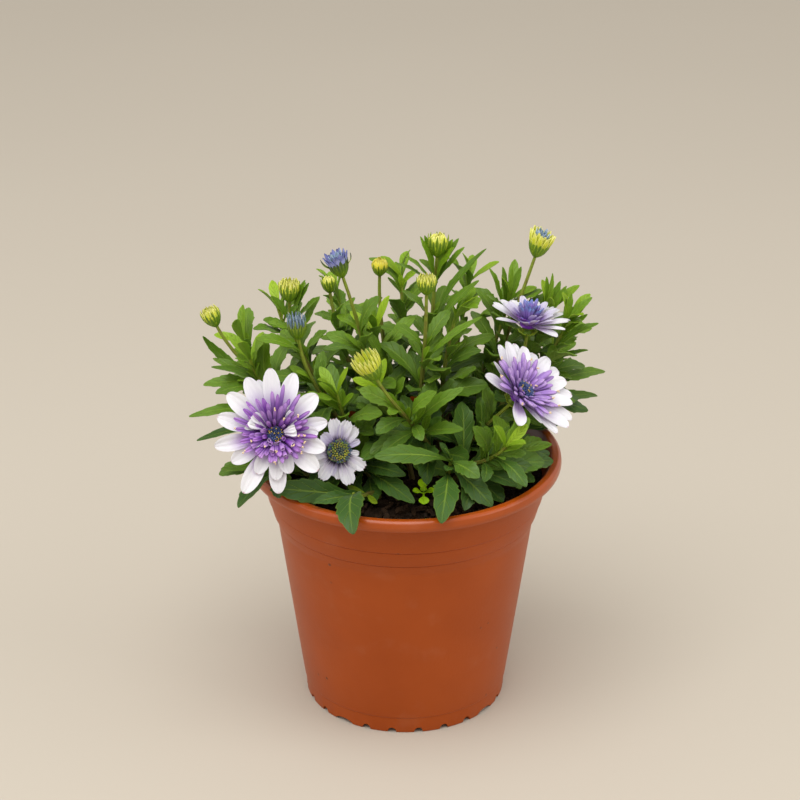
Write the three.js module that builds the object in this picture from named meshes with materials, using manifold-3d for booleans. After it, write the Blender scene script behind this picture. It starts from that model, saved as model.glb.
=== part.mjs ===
// A potted osteospermum (African daisy) in a plastic nursery pot.
// Millimetres, +Z up. The origin is the centre of the pot's foot, and the front of the plant faces -Y.
import * as THREE from "three";
import { mergeVertices } from "three/addons/utils/BufferGeometryUtils.js";
import Module from "manifold-3d";

const wasm = await Module();
wasm.setup();

// ---------------------------------------------------------------- driving dimensions

const GAP = 0.3; // clearance between neighbouring solids

const POT_HEIGHT = 145;
const RIM_RADIUS = 85; // outer edge of the rolled lip
const LIP_INNER_RADIUS = 79.5;
const LIP_SKIRT = 6.4; // height of the lip's down-turned edge
const FOOT_RADIUS = 55.6;
const FOOT_RING = 3; // width of the ring that the pot stands on
const RING_STEP = 0.6; // how far each small step in the wall stands out
// Outer corners of the wall, as [radius, height] from the foot up.
const FOOT_STEP = [56.2, 9.5];
const SHOULDER = [69.9, 106.2];
const LOWER_RING = [71.7, 111.7];
const UPPER_RING = [74.6, 121.1];
const UNDER_LIP = [77.3, 137.6];
// Inner corners of the wall.
const INNER_SHOULDER_HEIGHT = 104;
const INNER_BAND = [72.6, 120];
const NECK = [75.2, 136];
const WALL = 1.6;
const FLOOR_UNDERSIDE = 7;
const FLOOR_TOP = 9;
const POT_SIDES = 24;
const NOTCHES = 24; // drain notches round the foot ring
const WIDE_NOTCH = { every: 6, first: 3, halfWidth: 6, height: 2.5 };
const NOTCH = { halfWidth: 2.5, height: 3 };
const CUTTER = { below: 2, inward: 8, outward: 4 }; // how far a notch's cutter runs past the foot ring
const DRAIN = { count: 4, circle: 38, radius: 5 };

const SOIL_LEVEL = 133;
const SOIL_RADIUS = 74.2;
const SOIL_SIDES = POT_SIDES;
const SOIL_RELIEF = 1; // height of the waves in its surface

const STEM_RADIUS = 1.7; // where a stem leaves the soil
const STALK_RADIUS = 1; // just under a flower
const STEM_SIDES = 3;
const STEM_DEPTH = 8; // how far a stem stands in the soil
const STEM_STEPS = 4;
const BLADE_THICKNESS = 1.3; // a leaf at its midrib
const PETAL_THICKNESS = 1;
const PETAL_DROOP = 0.06; // how far a ray's tip bends down, for its length
const HUB_DEPTH = 2.4; // of the hub that carries a bloom's rays
const PLATE_DEPTH = 2; // of the plate that carries its florets
const FLORET_SEAT = 1.9; // height of that plate over the hub
const FLORET_UNEVENNESS = 0.16; // how much shorter the shortest floret of a ring is
const BUD_STALK = 1.1; // from a bud's seat down to its stem, for its radius
const BLOOM_STALK = 4; // from the underside of a bloom's hub down to its stem
const ROOT_SUNK = 0.5; // how far a leaf's root passes its stem's centre line
const OWN_OVERLAP = 1.5; // mm3 that a leaf may share with its own shoot's other leaves, at their roots
const GOLDEN_ANGLE = 137.5;

const COLOURS = {
  leaf: 0x3f7a2c,
  pot: 0xb3552b,
  soil: 0x2b2019,
  ray: 0xf1e9f7,
  floret: 0x7a4fb0,
  disc: 0x2f3f78,
  greenDisc: 0x4a6b5c,
  bud: 0xb7cf3e,
  blueBud: 0x5f74b4,
  seedling: 0x8fc431,
};

// ---------------------------------------------------------------- small helpers

const vec = (x, y, z) => new THREE.Vector3(x, y, z);
const mix = (a, b, t) => a + (b - a) * t;
const radians = THREE.MathUtils.degToRad;

/** A seeded generator (mulberry32) of numbers from 0 to 1. */
function seeded(seed) {
  let state = seed >>> 0;
  return () => {
    state = (state + 0x6d2b79f5) >>> 0;
    let t = state;
    t = Math.imul(t ^ (t >>> 15), t | 1);
    t ^= t + Math.imul(t ^ (t >>> 7), t | 61);
    return ((t ^ (t >>> 14)) >>> 0) / 4294967296;
  };
}

/** A closed solid from points and triangles, turned to face outwards. */
function solid(points, triangles) {
  const build = (faces) =>
    new wasm.Manifold(
      new wasm.Mesh({
        numProp: 3,
        vertProperties: new Float32Array(points.flatMap((p) => p.toArray())),
        triVerts: new Uint32Array(faces.flat()),
      }),
    );
  const made = build(triangles);
  return made.volume() > 0 ? made : build(triangles.map(([a, b, c]) => [a, c, b]));
}

/** The solid of a closed three.js geometry. */
function fromGeometry(geometry) {
  geometry.deleteAttribute("normal");
  geometry.deleteAttribute("uv");
  const merged = mergeVertices(geometry, 1e-4);
  const position = merged.getAttribute("position");
  const points = Array.from({ length: position.count }, (_, i) => vec().fromBufferAttribute(position, i));
  const index = merged.getIndex().array;
  const triangles = [];
  for (let i = 0; i < index.length; i += 3) {
    const [a, b, c] = [index[i], index[i + 1], index[i + 2]];
    if (a !== b && b !== c && a !== c) triangles.push([a, b, c]);
  }
  return solid(points, triangles);
}

/** A turned solid about +Z. Its profile of [radius, height] starts and ends on the axis. */
function turned(profile, sides) {
  const geometry = new THREE.LatheGeometry(
    profile.map(([r, z]) => new THREE.Vector2(r, z)),
    sides,
  );
  return fromGeometry(geometry.rotateX(Math.PI / 2));
}

/**
 * A turned solid about +Z whose rings can be toothed. It starts and ends in a point on the axis.
 * Each ring has `count` corners: [radius, height], and then those of every second corner where they differ.
 */
function crowned(count, from, rings, to) {
  const points = [vec(0, 0, from)];
  rings.forEach(([r, z, oddR = r, oddZ = z]) => {
    for (let k = 0; k < count; k++) {
      const angle = (2 * Math.PI * k) / count;
      const reach = k % 2 ? oddR : r;
      points.push(vec(reach * Math.cos(angle), reach * Math.sin(angle), k % 2 ? oddZ : z));
    }
  });
  points.push(vec(0, 0, to));
  const at = (ring, k) => 1 + ring * count + (k % count);
  const triangles = [];
  for (let k = 0; k < count; k++) {
    triangles.push([0, at(0, k + 1), at(0, k)]);
    for (let ring = 0; ring + 1 < rings.length; ring++) {
      const [a, b, c, d] = [at(ring, k), at(ring, k + 1), at(ring + 1, k + 1), at(ring + 1, k)];
      if (k % 2) triangles.push([a, b, d], [b, c, d]);
      else triangles.push([a, b, c], [a, c, d]);
    }
    triangles.push([at(rings.length - 1, k), at(rings.length - 1, k + 1), points.length - 1]);
  }
  return solid(points, triangles);
}

/** One solid from many. */
const joined = (solids) => wasm.Manifold.union(solids);

/** A closed tube through rings of `sides` points; a zero last radius ends it in a point. */
function tube(centres, radii, sides, turn = 0) {
  const points = [];
  const triangles = [];
  let normal = null;
  const last = centres.length - 1;
  const pointed = radii[last] === 0;
  centres.forEach((centre, i) => {
    const ahead = centres[Math.min(i + 1, last)];
    const behind = centres[Math.max(i - 1, 0)];
    const along = ahead.clone().sub(behind).normalize();
    if (!normal) normal = Math.abs(along.z) < 0.9 ? vec(0, 0, 1) : vec(0, 1, 0);
    normal = normal.clone().addScaledVector(along, -normal.dot(along)).normalize();
    const side = along.clone().cross(normal);
    if (i === last && pointed) {
      points.push(centre.clone());
      return;
    }
    for (let k = 0; k < sides; k++) {
      const angle = turn + (2 * Math.PI * k) / sides;
      points.push(
        centre
          .clone()
          .addScaledVector(normal, radii[i] * Math.cos(angle))
          .addScaledVector(side, radii[i] * Math.sin(angle)),
      );
    }
  });
  const rings = pointed ? last : last + 1;
  for (let i = 0; i + 1 < rings; i++)
    for (let k = 0; k < sides; k++) {
      const [a, b] = [i * sides + k, i * sides + ((k + 1) % sides)];
      triangles.push([a, b, b + sides], [a, b + sides, a + sides]);
    }
  for (let k = 1; k + 1 < sides; k++) triangles.push([0, k + 1, k]);
  const top = (rings - 1) * sides;
  const point = rings * sides;
  if (pointed) for (let k = 0; k < sides; k++) triangles.push([top + k, top + ((k + 1) % sides), point]);
  else for (let k = 1; k + 1 < sides; k++) triangles.push([top, top + k, top + k + 1]);
  return solid(points, triangles);
}

/** The frame (a matrix) at `origin` whose +Z is `axis` and whose +Y is as near world up as it can be. */
function facing(origin, axis) {
  const z = axis.clone().normalize();
  const x = Math.abs(z.z) > 0.98 ? vec(1, 0, 0) : vec(0, 0, 1).cross(z).normalize();
  const y = z.clone().cross(x).normalize();
  return new THREE.Matrix4().makeBasis(y.clone().cross(z), y, z).setPosition(origin);
}

/** A solid moved by a matrix. */
const moved = (made, matrix) => made.transform(matrix.toArray());

// ---------------------------------------------------------------- blades: leaves, petals and bracts

// Half a blade's outline from root to tip, as [share of the length, share of the half width].
// A toothed leaf has two teeth on each side, a cut one has one, a young one is plain.
const OUTLINES = {
  toothed: {
    side: [[0.32, 0.46], [0.54, 0.98], [0.59, 0.76], [0.77, 0.84], [0.81, 0.56]],
    rib: [0.2, 0.68],
  },
  cut: { side: [[0.34, 0.52], [0.62, 1], [0.69, 0.74]], rib: [0.46] },
  young: { side: [[0.5, 1], [0.8, 0.6]], rib: [0.35] },
  petal: { side: [[0.34, 0.74], [0.66, 1], [0.9, 0.6]], rib: [0.58] },
};

/**
 * A thin arched blade from `root` to `tip`, thickest along its midrib, with a sharp edge all round.
 * `up` is the side that its upper face looks to. `arch` and `sway` are its rise and its bend to one side, as
 * shares of its length, `fold` is its V, as a share of its width, and `grow` swells it.
 */
function blade({ root, tip, up, width, thickness, kind, arch = 0.12, fold = 0.12, sway = 0, grow = 0 }) {
  const outline = OUTLINES[kind];
  const span = tip.clone().sub(root);
  const length = span.length();
  const forward = span.clone().normalize();
  const lift = up.clone().addScaledVector(forward, -up.dot(forward)).normalize();
  const across = forward.clone().cross(lift);
  const knee = root
    .clone()
    .addScaledVector(span, 0.5)
    .addScaledVector(lift, 2 * arch * length)
    .addScaledVector(across, sway * length);
  const at = (t) => {
    const centre = root
      .clone()
      .multiplyScalar((1 - t) * (1 - t))
      .addScaledVector(knee, 2 * t * (1 - t))
      .addScaledVector(tip, t * t);
    const along = knee.clone().sub(root).lerp(tip.clone().sub(knee), t).normalize();
    const side = along.clone().cross(lift).normalize();
    return { centre, side, normal: side.clone().cross(along) };
  };
  const half = width / 2;
  const edge = (t, share, sign) => {
    const { centre, side, normal } = at(t);
    const reach = share * half;
    return centre.addScaledVector(side, sign * (reach + grow)).addScaledVector(normal, fold * reach);
  };
  const rib = (t, sign) => {
    const { centre, normal } = at(t);
    return centre.addScaledVector(normal, sign * (thickness / 2 + grow));
  };
  // The rim runs root, right side, tip, left side; both faces are split alike over it.
  const n = outline.side.length;
  const points = [
    root.clone(),
    ...outline.side.map(([t, share]) => edge(t, share, 1)),
    tip.clone().addScaledVector(forward, grow),
    ...outline.side.map(([t, share]) => edge(t, share, -1)).reverse(),
  ];
  const rim = points.length;
  const ribs = outline.rib.length;
  for (const sign of [1, -1]) for (const t of outline.rib) points.push(rib(t, sign));
  const shares = [0, ...outline.side.map(([t]) => t), 1];
  const face = (first) => {
    const faces = [];
    for (const right of [true, false]) {
      let k = 0;
      for (let i = 0; i <= n; i++) {
        const [a, b] = right ? [i, i + 1] : [(rim - i) % rim, rim - 1 - i];
        // Step along the midrib once the rim is nearer its next point.
        if (k + 1 < ribs && shares[i] > (outline.rib[k] + outline.rib[k + 1]) / 2) {
          faces.push(right ? [a, first + k + 1, first + k] : [first + k + 1, a, first + k]);
          k += 1;
        }
        faces.push(right ? [a, b, first + k] : [b, a, first + k]);
      }
    }
    return faces;
  };
  const under = face(rim + ribs).map(([a, b, c]) => [a, c, b]);
  return solid(points, [...face(rim), ...under]);
}

// ---------------------------------------------------------------- the pot and its soil

/** Radius of the plain wall's outside at a height. */
const wallRadius = (z) => mix(FOOT_STEP[0], SHOULDER[0], (z - FOOT_STEP[1]) / (SHOULDER[1] - FOOT_STEP[1]));

/** The small step that stands out above a corner of the wall. */
const stepAbove = ([r, z]) => [r + RING_STEP, z + RING_STEP];

function potProfile() {
  const outside = [
    [0, FLOOR_UNDERSIDE],
    [FOOT_RADIUS - FOOT_RING, FLOOR_UNDERSIDE],
    [FOOT_RADIUS - FOOT_RING, 0],
    [FOOT_RADIUS, 0],
    FOOT_STEP,
    stepAbove(FOOT_STEP),
    SHOULDER,
    LOWER_RING,
    UPPER_RING,
    stepAbove(UPPER_RING),
    UNDER_LIP,
  ];
  // The lip's section, as [out from the rim, up from the lip's lower edge].
  const section = [
    [-2.2, 1.6],
    [-1.2, 0],
    [0, 2],
    [-1.6, LIP_SKIRT - 0.7],
    [-3.4, LIP_SKIRT],
    [LIP_INNER_RADIUS - RIM_RADIUS, LIP_SKIRT - 0.5],
  ];
  const lip = section.map(([out, up]) => [RIM_RADIUS + out, POT_HEIGHT - LIP_SKIRT + up]);
  const inside = [
    NECK,
    INNER_BAND,
    [wallRadius(INNER_SHOULDER_HEIGHT) - WALL, INNER_SHOULDER_HEIGHT],
    [wallRadius(FLOOR_TOP) - WALL, FLOOR_TOP],
    [0, FLOOR_TOP],
  ];
  return [...outside, ...lip, ...inside];
}

/** An upright plate with an arched top that cuts one notch in the foot ring. */
function notchCutter({ halfWidth, height }, degrees) {
  const steps = 3;
  const arch = new THREE.Shape();
  arch.moveTo(-halfWidth, -CUTTER.below);
  for (let i = 0; i <= steps; i++) {
    const angle = Math.PI - (Math.PI * i) / steps;
    arch.lineTo(halfWidth * Math.cos(angle), height * Math.sin(angle));
  }
  arch.lineTo(halfWidth, -CUTTER.below);
  const depth = CUTTER.inward + CUTTER.outward;
  const geometry = new THREE.ExtrudeGeometry(arch, { depth, bevelEnabled: false, steps: 1 });
  geometry.rotateX(Math.PI / 2).translate(0, CUTTER.inward - FOOT_RADIUS, 0).rotateZ(radians(degrees));
  return fromGeometry(geometry);
}

function pot() {
  const cutters = [];
  for (let i = 0; i < NOTCHES; i++) {
    const wide = i % WIDE_NOTCH.every === WIDE_NOTCH.first;
    cutters.push(notchCutter(wide ? WIDE_NOTCH : NOTCH, (360 * (i + 0.5)) / NOTCHES));
  }
  for (let i = 0; i < DRAIN.count; i++) {
    const angle = (2 * Math.PI * i) / DRAIN.count;
    const below = vec(DRAIN.circle * Math.cos(angle), DRAIN.circle * Math.sin(angle), 0);
    const above = below.clone().setZ(FLOOR_TOP + CUTTER.below);
    cutters.push(tube([below, above], [DRAIN.radius, DRAIN.radius], 6));
  }
  return turned(potProfile(), POT_SIDES).subtract(joined(cutters));
}

/** Height of the loose soil surface, by a formula of crossing waves. */
function soilHeight(x, y) {
  const waves = Math.sin(x * 0.31 + 1.2) * Math.cos(y * 0.27) + 0.6 * Math.sin((x - 1.7 * y) * 0.19 + 0.4);
  return SOIL_LEVEL + SOIL_RELIEF * waves;
}

function soil(stemHoles) {
  const bottom = FLOOR_TOP + GAP;
  const inner = (z) => wallRadius(z) - WALL - GAP;
  const rings = [
    [inner(FLOOR_TOP), bottom],
    [inner(INNER_SHOULDER_HEIGHT), INNER_SHOULDER_HEIGHT],
    [INNER_BAND[0] - GAP, INNER_BAND[1]],
    [SOIL_RADIUS, SOIL_LEVEL],
    [SOIL_RADIUS * 0.7, SOIL_LEVEL],
    [SOIL_RADIUS * 0.35, SOIL_LEVEL],
  ];
  const points = [vec(0, 0, bottom)];
  rings.forEach(([r, z]) => {
    for (let k = 0; k < SOIL_SIDES; k++) {
      const angle = (2 * Math.PI * k) / SOIL_SIDES;
      const p = vec(r * Math.sin(angle), r * Math.cos(angle), z);
      if (z === SOIL_LEVEL) p.z = soilHeight(p.x, p.y);
      points.push(p);
    }
  });
  points.push(vec(0, 0, soilHeight(0, 0)));
  const triangles = [];
  const at = (ring, k) => 1 + ring * SOIL_SIDES + (k % SOIL_SIDES);
  for (let k = 0; k < SOIL_SIDES; k++) {
    triangles.push([0, at(0, k), at(0, k + 1)]);
    for (let ring = 0; ring + 1 < rings.length; ring++) {
      const [a, b, c, d] = [at(ring, k), at(ring, k + 1), at(ring + 1, k + 1), at(ring + 1, k)];
      triangles.push([a, c, b], [a, d, c]);
    }
    triangles.push([at(rings.length - 1, k), points.length - 1, at(rings.length - 1, k + 1)]);
  }
  return solid(points, triangles).subtract(joined(stemHoles));
}

// ---------------------------------------------------------------- stems

/** The centre line of a shoot: it leaves the soil leaning out, and ends at `tip` along `axis`. */
function stemCurve({ base, tip, axis, lean = 0.35, pull = 0.36 }) {
  const foot = vec(base[0], base[1], SOIL_LEVEL);
  const end = vec(...tip);
  const direction = vec(...axis).normalize();
  const reach = foot.distanceTo(end);
  const start = vec(end.x - foot.x, end.y - foot.y, 0).multiplyScalar(lean / reach).setZ(1).normalize();
  const curve = new THREE.CubicBezierCurve3(
    foot,
    foot.clone().addScaledVector(start, pull * reach),
    end.clone().addScaledVector(direction, -pull * reach),
    end,
  );
  return { curve, start, foot, end, direction };
}

function stem(line) {
  const centres = [line.foot.clone().addScaledVector(line.start, -STEM_DEPTH)];
  const radii = [STEM_RADIUS];
  for (let i = 0; i <= STEM_STEPS; i++) {
    centres.push(line.curve.getPoint(i / STEM_STEPS));
    radii.push(mix(STEM_RADIUS, STALK_RADIUS, i / STEM_STEPS));
  }
  return tube(centres, radii, STEM_SIDES);
}

/** The hole that a stem stands in, with clearance all round and below, open well above the soil. */
function stemHole(line) {
  const r = STEM_RADIUS + 2 * GAP;
  const ends = [-STEM_DEPTH - GAP, STEM_DEPTH].map((d) => line.foot.clone().addScaledVector(line.start, d));
  return tube(ends, [r, r], STEM_SIDES);
}

// ---------------------------------------------------------------- flower heads

/** The green cup of bracts under a head, in the head's frame: its top is a seat at height 0. */
function calyx({ radius, depth, bracts, rise, flare }) {
  const rings = [
    [radius * 0.8, -depth * 0.7],
    [radius, -depth * 0.25],
    [radius * flare, rise, radius * 0.9, 0],
    [radius * 0.84, 0],
  ];
  return crowned(2 * bracts, -depth - 1, rings, 0);
}

/** The closed petals of a bud, standing on the seat of its cup of bracts. */
function budPetals({ radius, height, petals }) {
  const rings = [
    [radius * 0.74, GAP],
    [radius * 0.64, height, radius * 0.52, height * 0.7],
    [radius * 0.3, height * 0.62, radius * 0.24, height * 0.9],
  ];
  return crowned(2 * petals, GAP, rings, height * 0.6);
}

/** A spindle with three sides, for one tubular floret. */
function floret(from, to, radius) {
  const waist = from.clone().lerp(to, 0.7);
  return tube([from, waist, to], [radius * 0.4, radius, 0], 3, Math.PI);
}

/**
 * The ray petals of a bloom, in two layers round one hub: a star-shaped blade whose two faces share an
 * outline that dips to the hub between rays. Each ray is [azimuth, length, width, rise in degrees].
 */
function rayCrown({ hub, rays }) {
  const outline = OUTLINES.petal;
  const polar = (degrees, r, z) => vec(r * Math.cos(radians(degrees)), r * Math.sin(radians(degrees)), z);
  const rim = [];
  const ribs = [];
  const petals = rays.map(([azimuth, length, width, rise], i) => {
    const next = rays[(i + 1) % rays.length][0] + (i + 1 === rays.length ? 360 : 0);
    const out = polar(azimuth, 1, 0);
    const across = polar(azimuth + 90, 1, 0);
    const at = (t, share) => {
      const r = hub + t * (length - hub);
      const droop = PETAL_DROOP * length * t * t;
      const z = Math.sin(radians(rise)) * (r - hub) - droop + 0.1 * Math.abs(share) * width;
      const along = out.clone().multiplyScalar(r * Math.cos(radians(rise)));
      return along.addScaledVector(across, (share * width) / 2).setZ(z);
    };
    const first = rim.length;
    for (const [t, share] of outline.side) rim.push(at(t, -share));
    rim.push(at(1, 0));
    for (const [t, share] of [...outline.side].reverse()) rim.push(at(t, share));
    const valley = rim.push(polar((azimuth + next) / 2, hub, 0)) - 1;
    ribs.push(at(outline.rib[0], 0));
    return { first, valley };
  });
  const offset = (sign) => vec(0, 0, (sign * PETAL_THICKNESS) / 2);
  const points = [...rim];
  for (const sign of [1, -1]) points.push(...ribs.map((rib) => rib.clone().add(offset(sign))));
  points.push(vec(0, 0, 0), vec(0, 0, -HUB_DEPTH));
  const face = (ribStart, centre) =>
    petals.flatMap(({ first, valley }, i) => {
      const before = petals[(i + rays.length - 1) % rays.length].valley;
      const edge = [before, ...Array.from({ length: valley - first }, (_, k) => first + k), valley];
      const fan = edge.slice(1).map((b, k) => [edge[k], b, ribStart + i]);
      return [...fan, [before, ribStart + i, centre], [ribStart + i, valley, centre]];
    });
  const upper = face(rim.length, points.length - 2);
  const under = face(rim.length + ribs.length, points.length - 1).map(([a, b, c]) => [a, c, b]);
  return solid(points, [...upper, ...under]);
}

/** The tubular florets of a bloom: rings of spindles that rise from a round plate. */
function floretCrown({ seat, plate, rings }) {
  const top = seat + PLATE_DEPTH;
  const pieces = [turned([[0, seat], [plate, seat], [plate * 0.5, top], [0, top]], 9)];
  rings.forEach(({ count, radius, length, rise, thick, turn }) => {
    for (let i = 0; i < count; i++) {
      const angle = (2 * Math.PI * (i + turn)) / count;
      const out = vec(Math.cos(angle), Math.sin(angle), 0);
      const reach = length * (1 - (FLORET_UNEVENNESS * ((i * 3) % 4)) / 3);
      const from = out.clone().multiplyScalar(radius).setZ(mix(top, seat, radius / plate));
      const to = out
        .clone()
        .multiplyScalar(radius + reach * Math.cos(radians(rise)))
        .setZ(from.z + reach * Math.sin(radians(rise)));
      pieces.push(floret(from, to, thick));
    }
  });
  return joined(pieces);
}

/** The middle of a bloom: a low dome with a ring of knobs. */
function discDome({ seat, radius, height, knobs }) {
  const rings = [
    [radius * 0.8, seat],
    [radius, seat + height * 0.5, radius * 0.86, seat + height * 0.6],
    [radius * 0.66, seat + height * 0.86, radius * 0.62, seat + height * 1.2],
    [radius * 0.3, seat + height * 1.15, radius * 0.26, seat + height * 0.9],
  ];
  return crowned(2 * knobs, seat, rings, seat + height * 1.2);
}

// ---------------------------------------------------------------- what grows where

// Each bud: where its cup of bracts sits, which way it points, its size and how far it has opened.
const BUDS = [
  { tip: [-100, 0, 218], axis: [-0.45, 0, 1], base: [-38, 0], radius: 5.2, open: 0.3, tint: "bud" },
  { tip: [-62, 15, 226], axis: [0.02, 0, 1], base: [-30, 13], radius: 5.8, open: 0.5, tint: "bud" },
  { tip: [-56, -15, 217], axis: [-0.1, 0, 1], base: [-24, -3], radius: 5.2, open: 0.9, tint: "blueBud" },
  { tip: [-33, 5, 244], axis: [-0.32, 0, 1], base: [-13, 5], radius: 5.6, open: 1, tint: "blueBud" },
  { tip: [-41, 40, 221], axis: [-0.12, 0, 1], base: [-18, 24], radius: 4.2, open: 0.2, tint: "bud" },
  { tip: [-14, 45, 229], axis: [0.04, 0, 1], base: [-4, 20], radius: 4.6, open: 0.3, tint: "bud" },
  { tip: [17, 30, 246], axis: [0.08, 0, 1], base: [12, 16], radius: 5.6, open: 0.5, tint: "bud" },
  { tip: [11, -5, 238], axis: [0, 0, 1], base: [6, 3], radius: 5.2, open: 0.4, tint: "bud" },
  { tip: [-15, -44, 207], axis: [-0.5, -0.15, 1], base: [18, -9], radius: 6.8, open: 0.7, tint: "bud" },
  { tip: [70, 35, 244], axis: [0.3, 0, 1], base: [40, 20], radius: 6, open: 0.9, tint: "blueBud" },
];

// The rays of each bloom in turn, as [azimuth, length, width, rise in degrees].
// Neighbours that would cross lie at different rises.
const RAYS_A = [
  ...[[12, 27.5, 8.4, 5], [42, 30, 9.8, 11], [71, 33, 9.2, 4], [93, 34, 9.2, 11], [115, 32.5, 9.4, 4]],
  ...[[138, 32.5, 9.4, 11], [161, 31, 9.2, 4], [189, 32, 8.6, 10], [211, 27, 9, 4], [239, 34, 9.4, 4]],
  ...[[253, 23, 8, 14], [271, 30.5, 9, 4], [288, 22.5, 8, 14], [318, 29, 10, 5], [342, 27, 9, 12]],
];
const RAYS_B = [
  ...[[14, 33, 8.4, 20], [29, 32, 8, 12], [44, 31, 8, 20], [59, 32, 8, 12], [75, 30.5, 7.4, 20]],
  ...[[113, 26, 4.4, 22], [138, 27, 8.4, 18], [185, 20, 6.4, 24], [211, 28.5, 8, 18], [248, 23, 4.6, 22]],
  ...[[267, 30, 8, 12], [283, 32, 8, 20], [301, 32, 8.4, 12], [317, 31.5, 8.2, 20], [331, 33, 8.2, 12]],
  ...[[345, 32, 8.2, 20], [359, 33, 8.4, 12]],
];
const RAYS_C = [
  ...[[0, 23.5, 5.4, 18], [16, 22, 5.2, 25], [32, 21.5, 5.2, 18], [50, 21, 5.2, 25], [66, 20.5, 5.2, 18]],
  ...[[82, 20, 5.2, 25], [98, 20, 5.2, 18], [114, 22, 5.4, 25], [130, 23, 5.4, 18], [146, 23.5, 5.4, 25]],
  ...[[161, 23.2, 5.2, 18], [190, 19, 4.4, 17], [250, 20, 5, 28], [290, 20, 5, 28], [315, 24.5, 6, 12]],
  ...[[338, 23.6, 5.2, 25]],
];
const RAYS_D = [
  ...[[24, 14, 5, 6], [46, 15.5, 5, 14], [68, 17, 5.4, 6], [88, 17, 5.2, 14], [108, 17, 5.4, 6]],
  ...[[132, 14, 4.6, 14], [158, 15, 5, 6], [182, 15.5, 5, 14], [205, 15, 5, 6], [227, 15.5, 5, 14]],
  ...[[249, 17, 5.4, 6], [271, 15, 5, 14], [291, 19, 5.6, 6], [307, 19, 5.4, 14], [329, 16.5, 5.4, 6]],
  ...[[352, 13, 4, 14]],
];

const BLOOMS = [
  {
    letter: "a",
    centre: [-66.6, -60, 183],
    axis: [0.06, -0.9, 0.43],
    base: [-32, -22],
    hub: 6,
    rays: RAYS_A,
    plate: 7.4,
    rings: [
      { count: 15, radius: 6, length: 16, rise: 24, thick: 1.5, turn: 0 },
      { count: 11, radius: 4.8, length: 12, rise: 42, thick: 1.4, turn: 0.5 },
      { count: 7, radius: 3.6, length: 8, rise: 62, thick: 1.2, turn: 0.2 },
    ],
    disc: { radius: 3, height: 3, knobs: 5 },
  },
  {
    letter: "b",
    centre: [59.6, -22, 187.4],
    axis: [0.52, -0.37, 0.77],
    base: [28, -3],
    hub: 6,
    rays: RAYS_B,
    plate: 7.4,
    rings: [
      { count: 14, radius: 6, length: 16, rise: 36, thick: 1.5, turn: 0.4 },
      { count: 10, radius: 4.8, length: 13, rise: 50, thick: 1.4, turn: 0 },
      { count: 6, radius: 3.6, length: 9, rise: 66, thick: 1.2, turn: 0.3 },
    ],
    disc: { radius: 3, height: 3, knobs: 5 },
  },
  {
    letter: "c",
    centre: [66, 15, 213],
    axis: [0.08, -0.06, 1],
    base: [42, 8],
    hub: 5.2,
    rays: RAYS_C,
    plate: 6,
    rings: [
      { count: 11, radius: 4.4, length: 12.5, rise: 48, thick: 1.8, turn: 0.3 },
      { count: 7, radius: 3, length: 10.5, rise: 68, thick: 1.5, turn: 0 },
    ],
    disc: { radius: 2.2, height: 2.6, knobs: 4 },
  },
  {
    letter: "d",
    centre: [-35.4, -43, 165],
    axis: [0.22, -0.86, 0.46],
    base: [-17, -17],
    hub: 5,
    rays: RAYS_D,
    plate: 6.2,
    rings: [{ count: 12, radius: 5.5, length: 3.4, rise: 46, thick: 0.9, turn: 0 }],
    disc: { radius: 5, height: 3.8, knobs: 9 },
  },
];

// Its leaves as [azimuth, rise for 1 outwards].
const SEEDLING = {
  x: 9.6,
  y: -41,
  height: 7,
  leaf: 5.8,
  width: 4.8,
  leaves: [[5, 0.2], [95, 0.9], [182, 0.2], [272, -0.7]],
};

// Each leafy shoot without a flower: where its tip is and where it leaves the soil. A bare one carries only
// chosen leaves.
const LEAFY = [
  { tip: [57, 40, 218], axis: [0.2, 0, 1], base: [29, 24] },
  { tip: [78, 33, 213], axis: [0.25, 0, 1], base: [50, 22] },
  { tip: [88, 20, 214], axis: [0.35, -0.05, 1], base: [54, 10] },
  { tip: [52, -48, 170], axis: [0.6, -0.35, 1], base: [26, -18] },
  { tip: [-36, -26, 190], axis: [-0.2, -0.1, 1], base: [-24, -12] },
  { tip: [24, -42, 160], axis: [0.1, -0.3, 1], base: [20, -32], bare: true },
  { tip: [-27, -56, 147], axis: [-0.3, -0.6, 1], base: [-14, -34], bare: true },
  { tip: [56, -30, 158], axis: [0.5, -0.4, 1], base: [44, -16] },
  { tip: [-72, -38, 158], axis: [-0.6, -0.3, 1], base: [-44, -24] },
  { tip: [-82, -12, 204], axis: [-0.3, 0, 1], base: [-44, -10] },
  { tip: [82, 42, 182], axis: [0.5, 0.1, 1], base: [58, 28] },
  { tip: [-70, 48, 208], axis: [-0.3, 0.2, 1], base: [-34, 28] },
  { tip: [-38, 66, 212], axis: [-0.2, 0.4, 1], base: [-18, 40] },
  { tip: [-2, 64, 222], axis: [0, 0.3, 1], base: [2, 38] },
  { tip: [36, 62, 220], axis: [0.2, 0.3, 1], base: [22, 38] },
  { tip: [74, 62, 192], axis: [0.4, 0.3, 1], base: [44, 36] },
  { tip: [-88, 30, 196], axis: [-0.5, 0.1, 1], base: [-46, 12] },
  { tip: [-14, -18, 190], axis: [-0.2, -0.2, 1], base: [4, -16] },
  { tip: [28, 12, 222], axis: [0.3, 0, 1], base: [18, 4] },
  { tip: [-16, 16, 208], axis: [-0.2, 0, 1], base: [-2, 12] },
];

/** The straight line of the seedling's stem. */
function seedlingLine() {
  const foot = vec(SEEDLING.x, SEEDLING.y, SOIL_LEVEL);
  return { foot, start: vec(0, 0, 1), end: foot.clone().setZ(SOIL_LEVEL + SEEDLING.height) };
}

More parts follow.
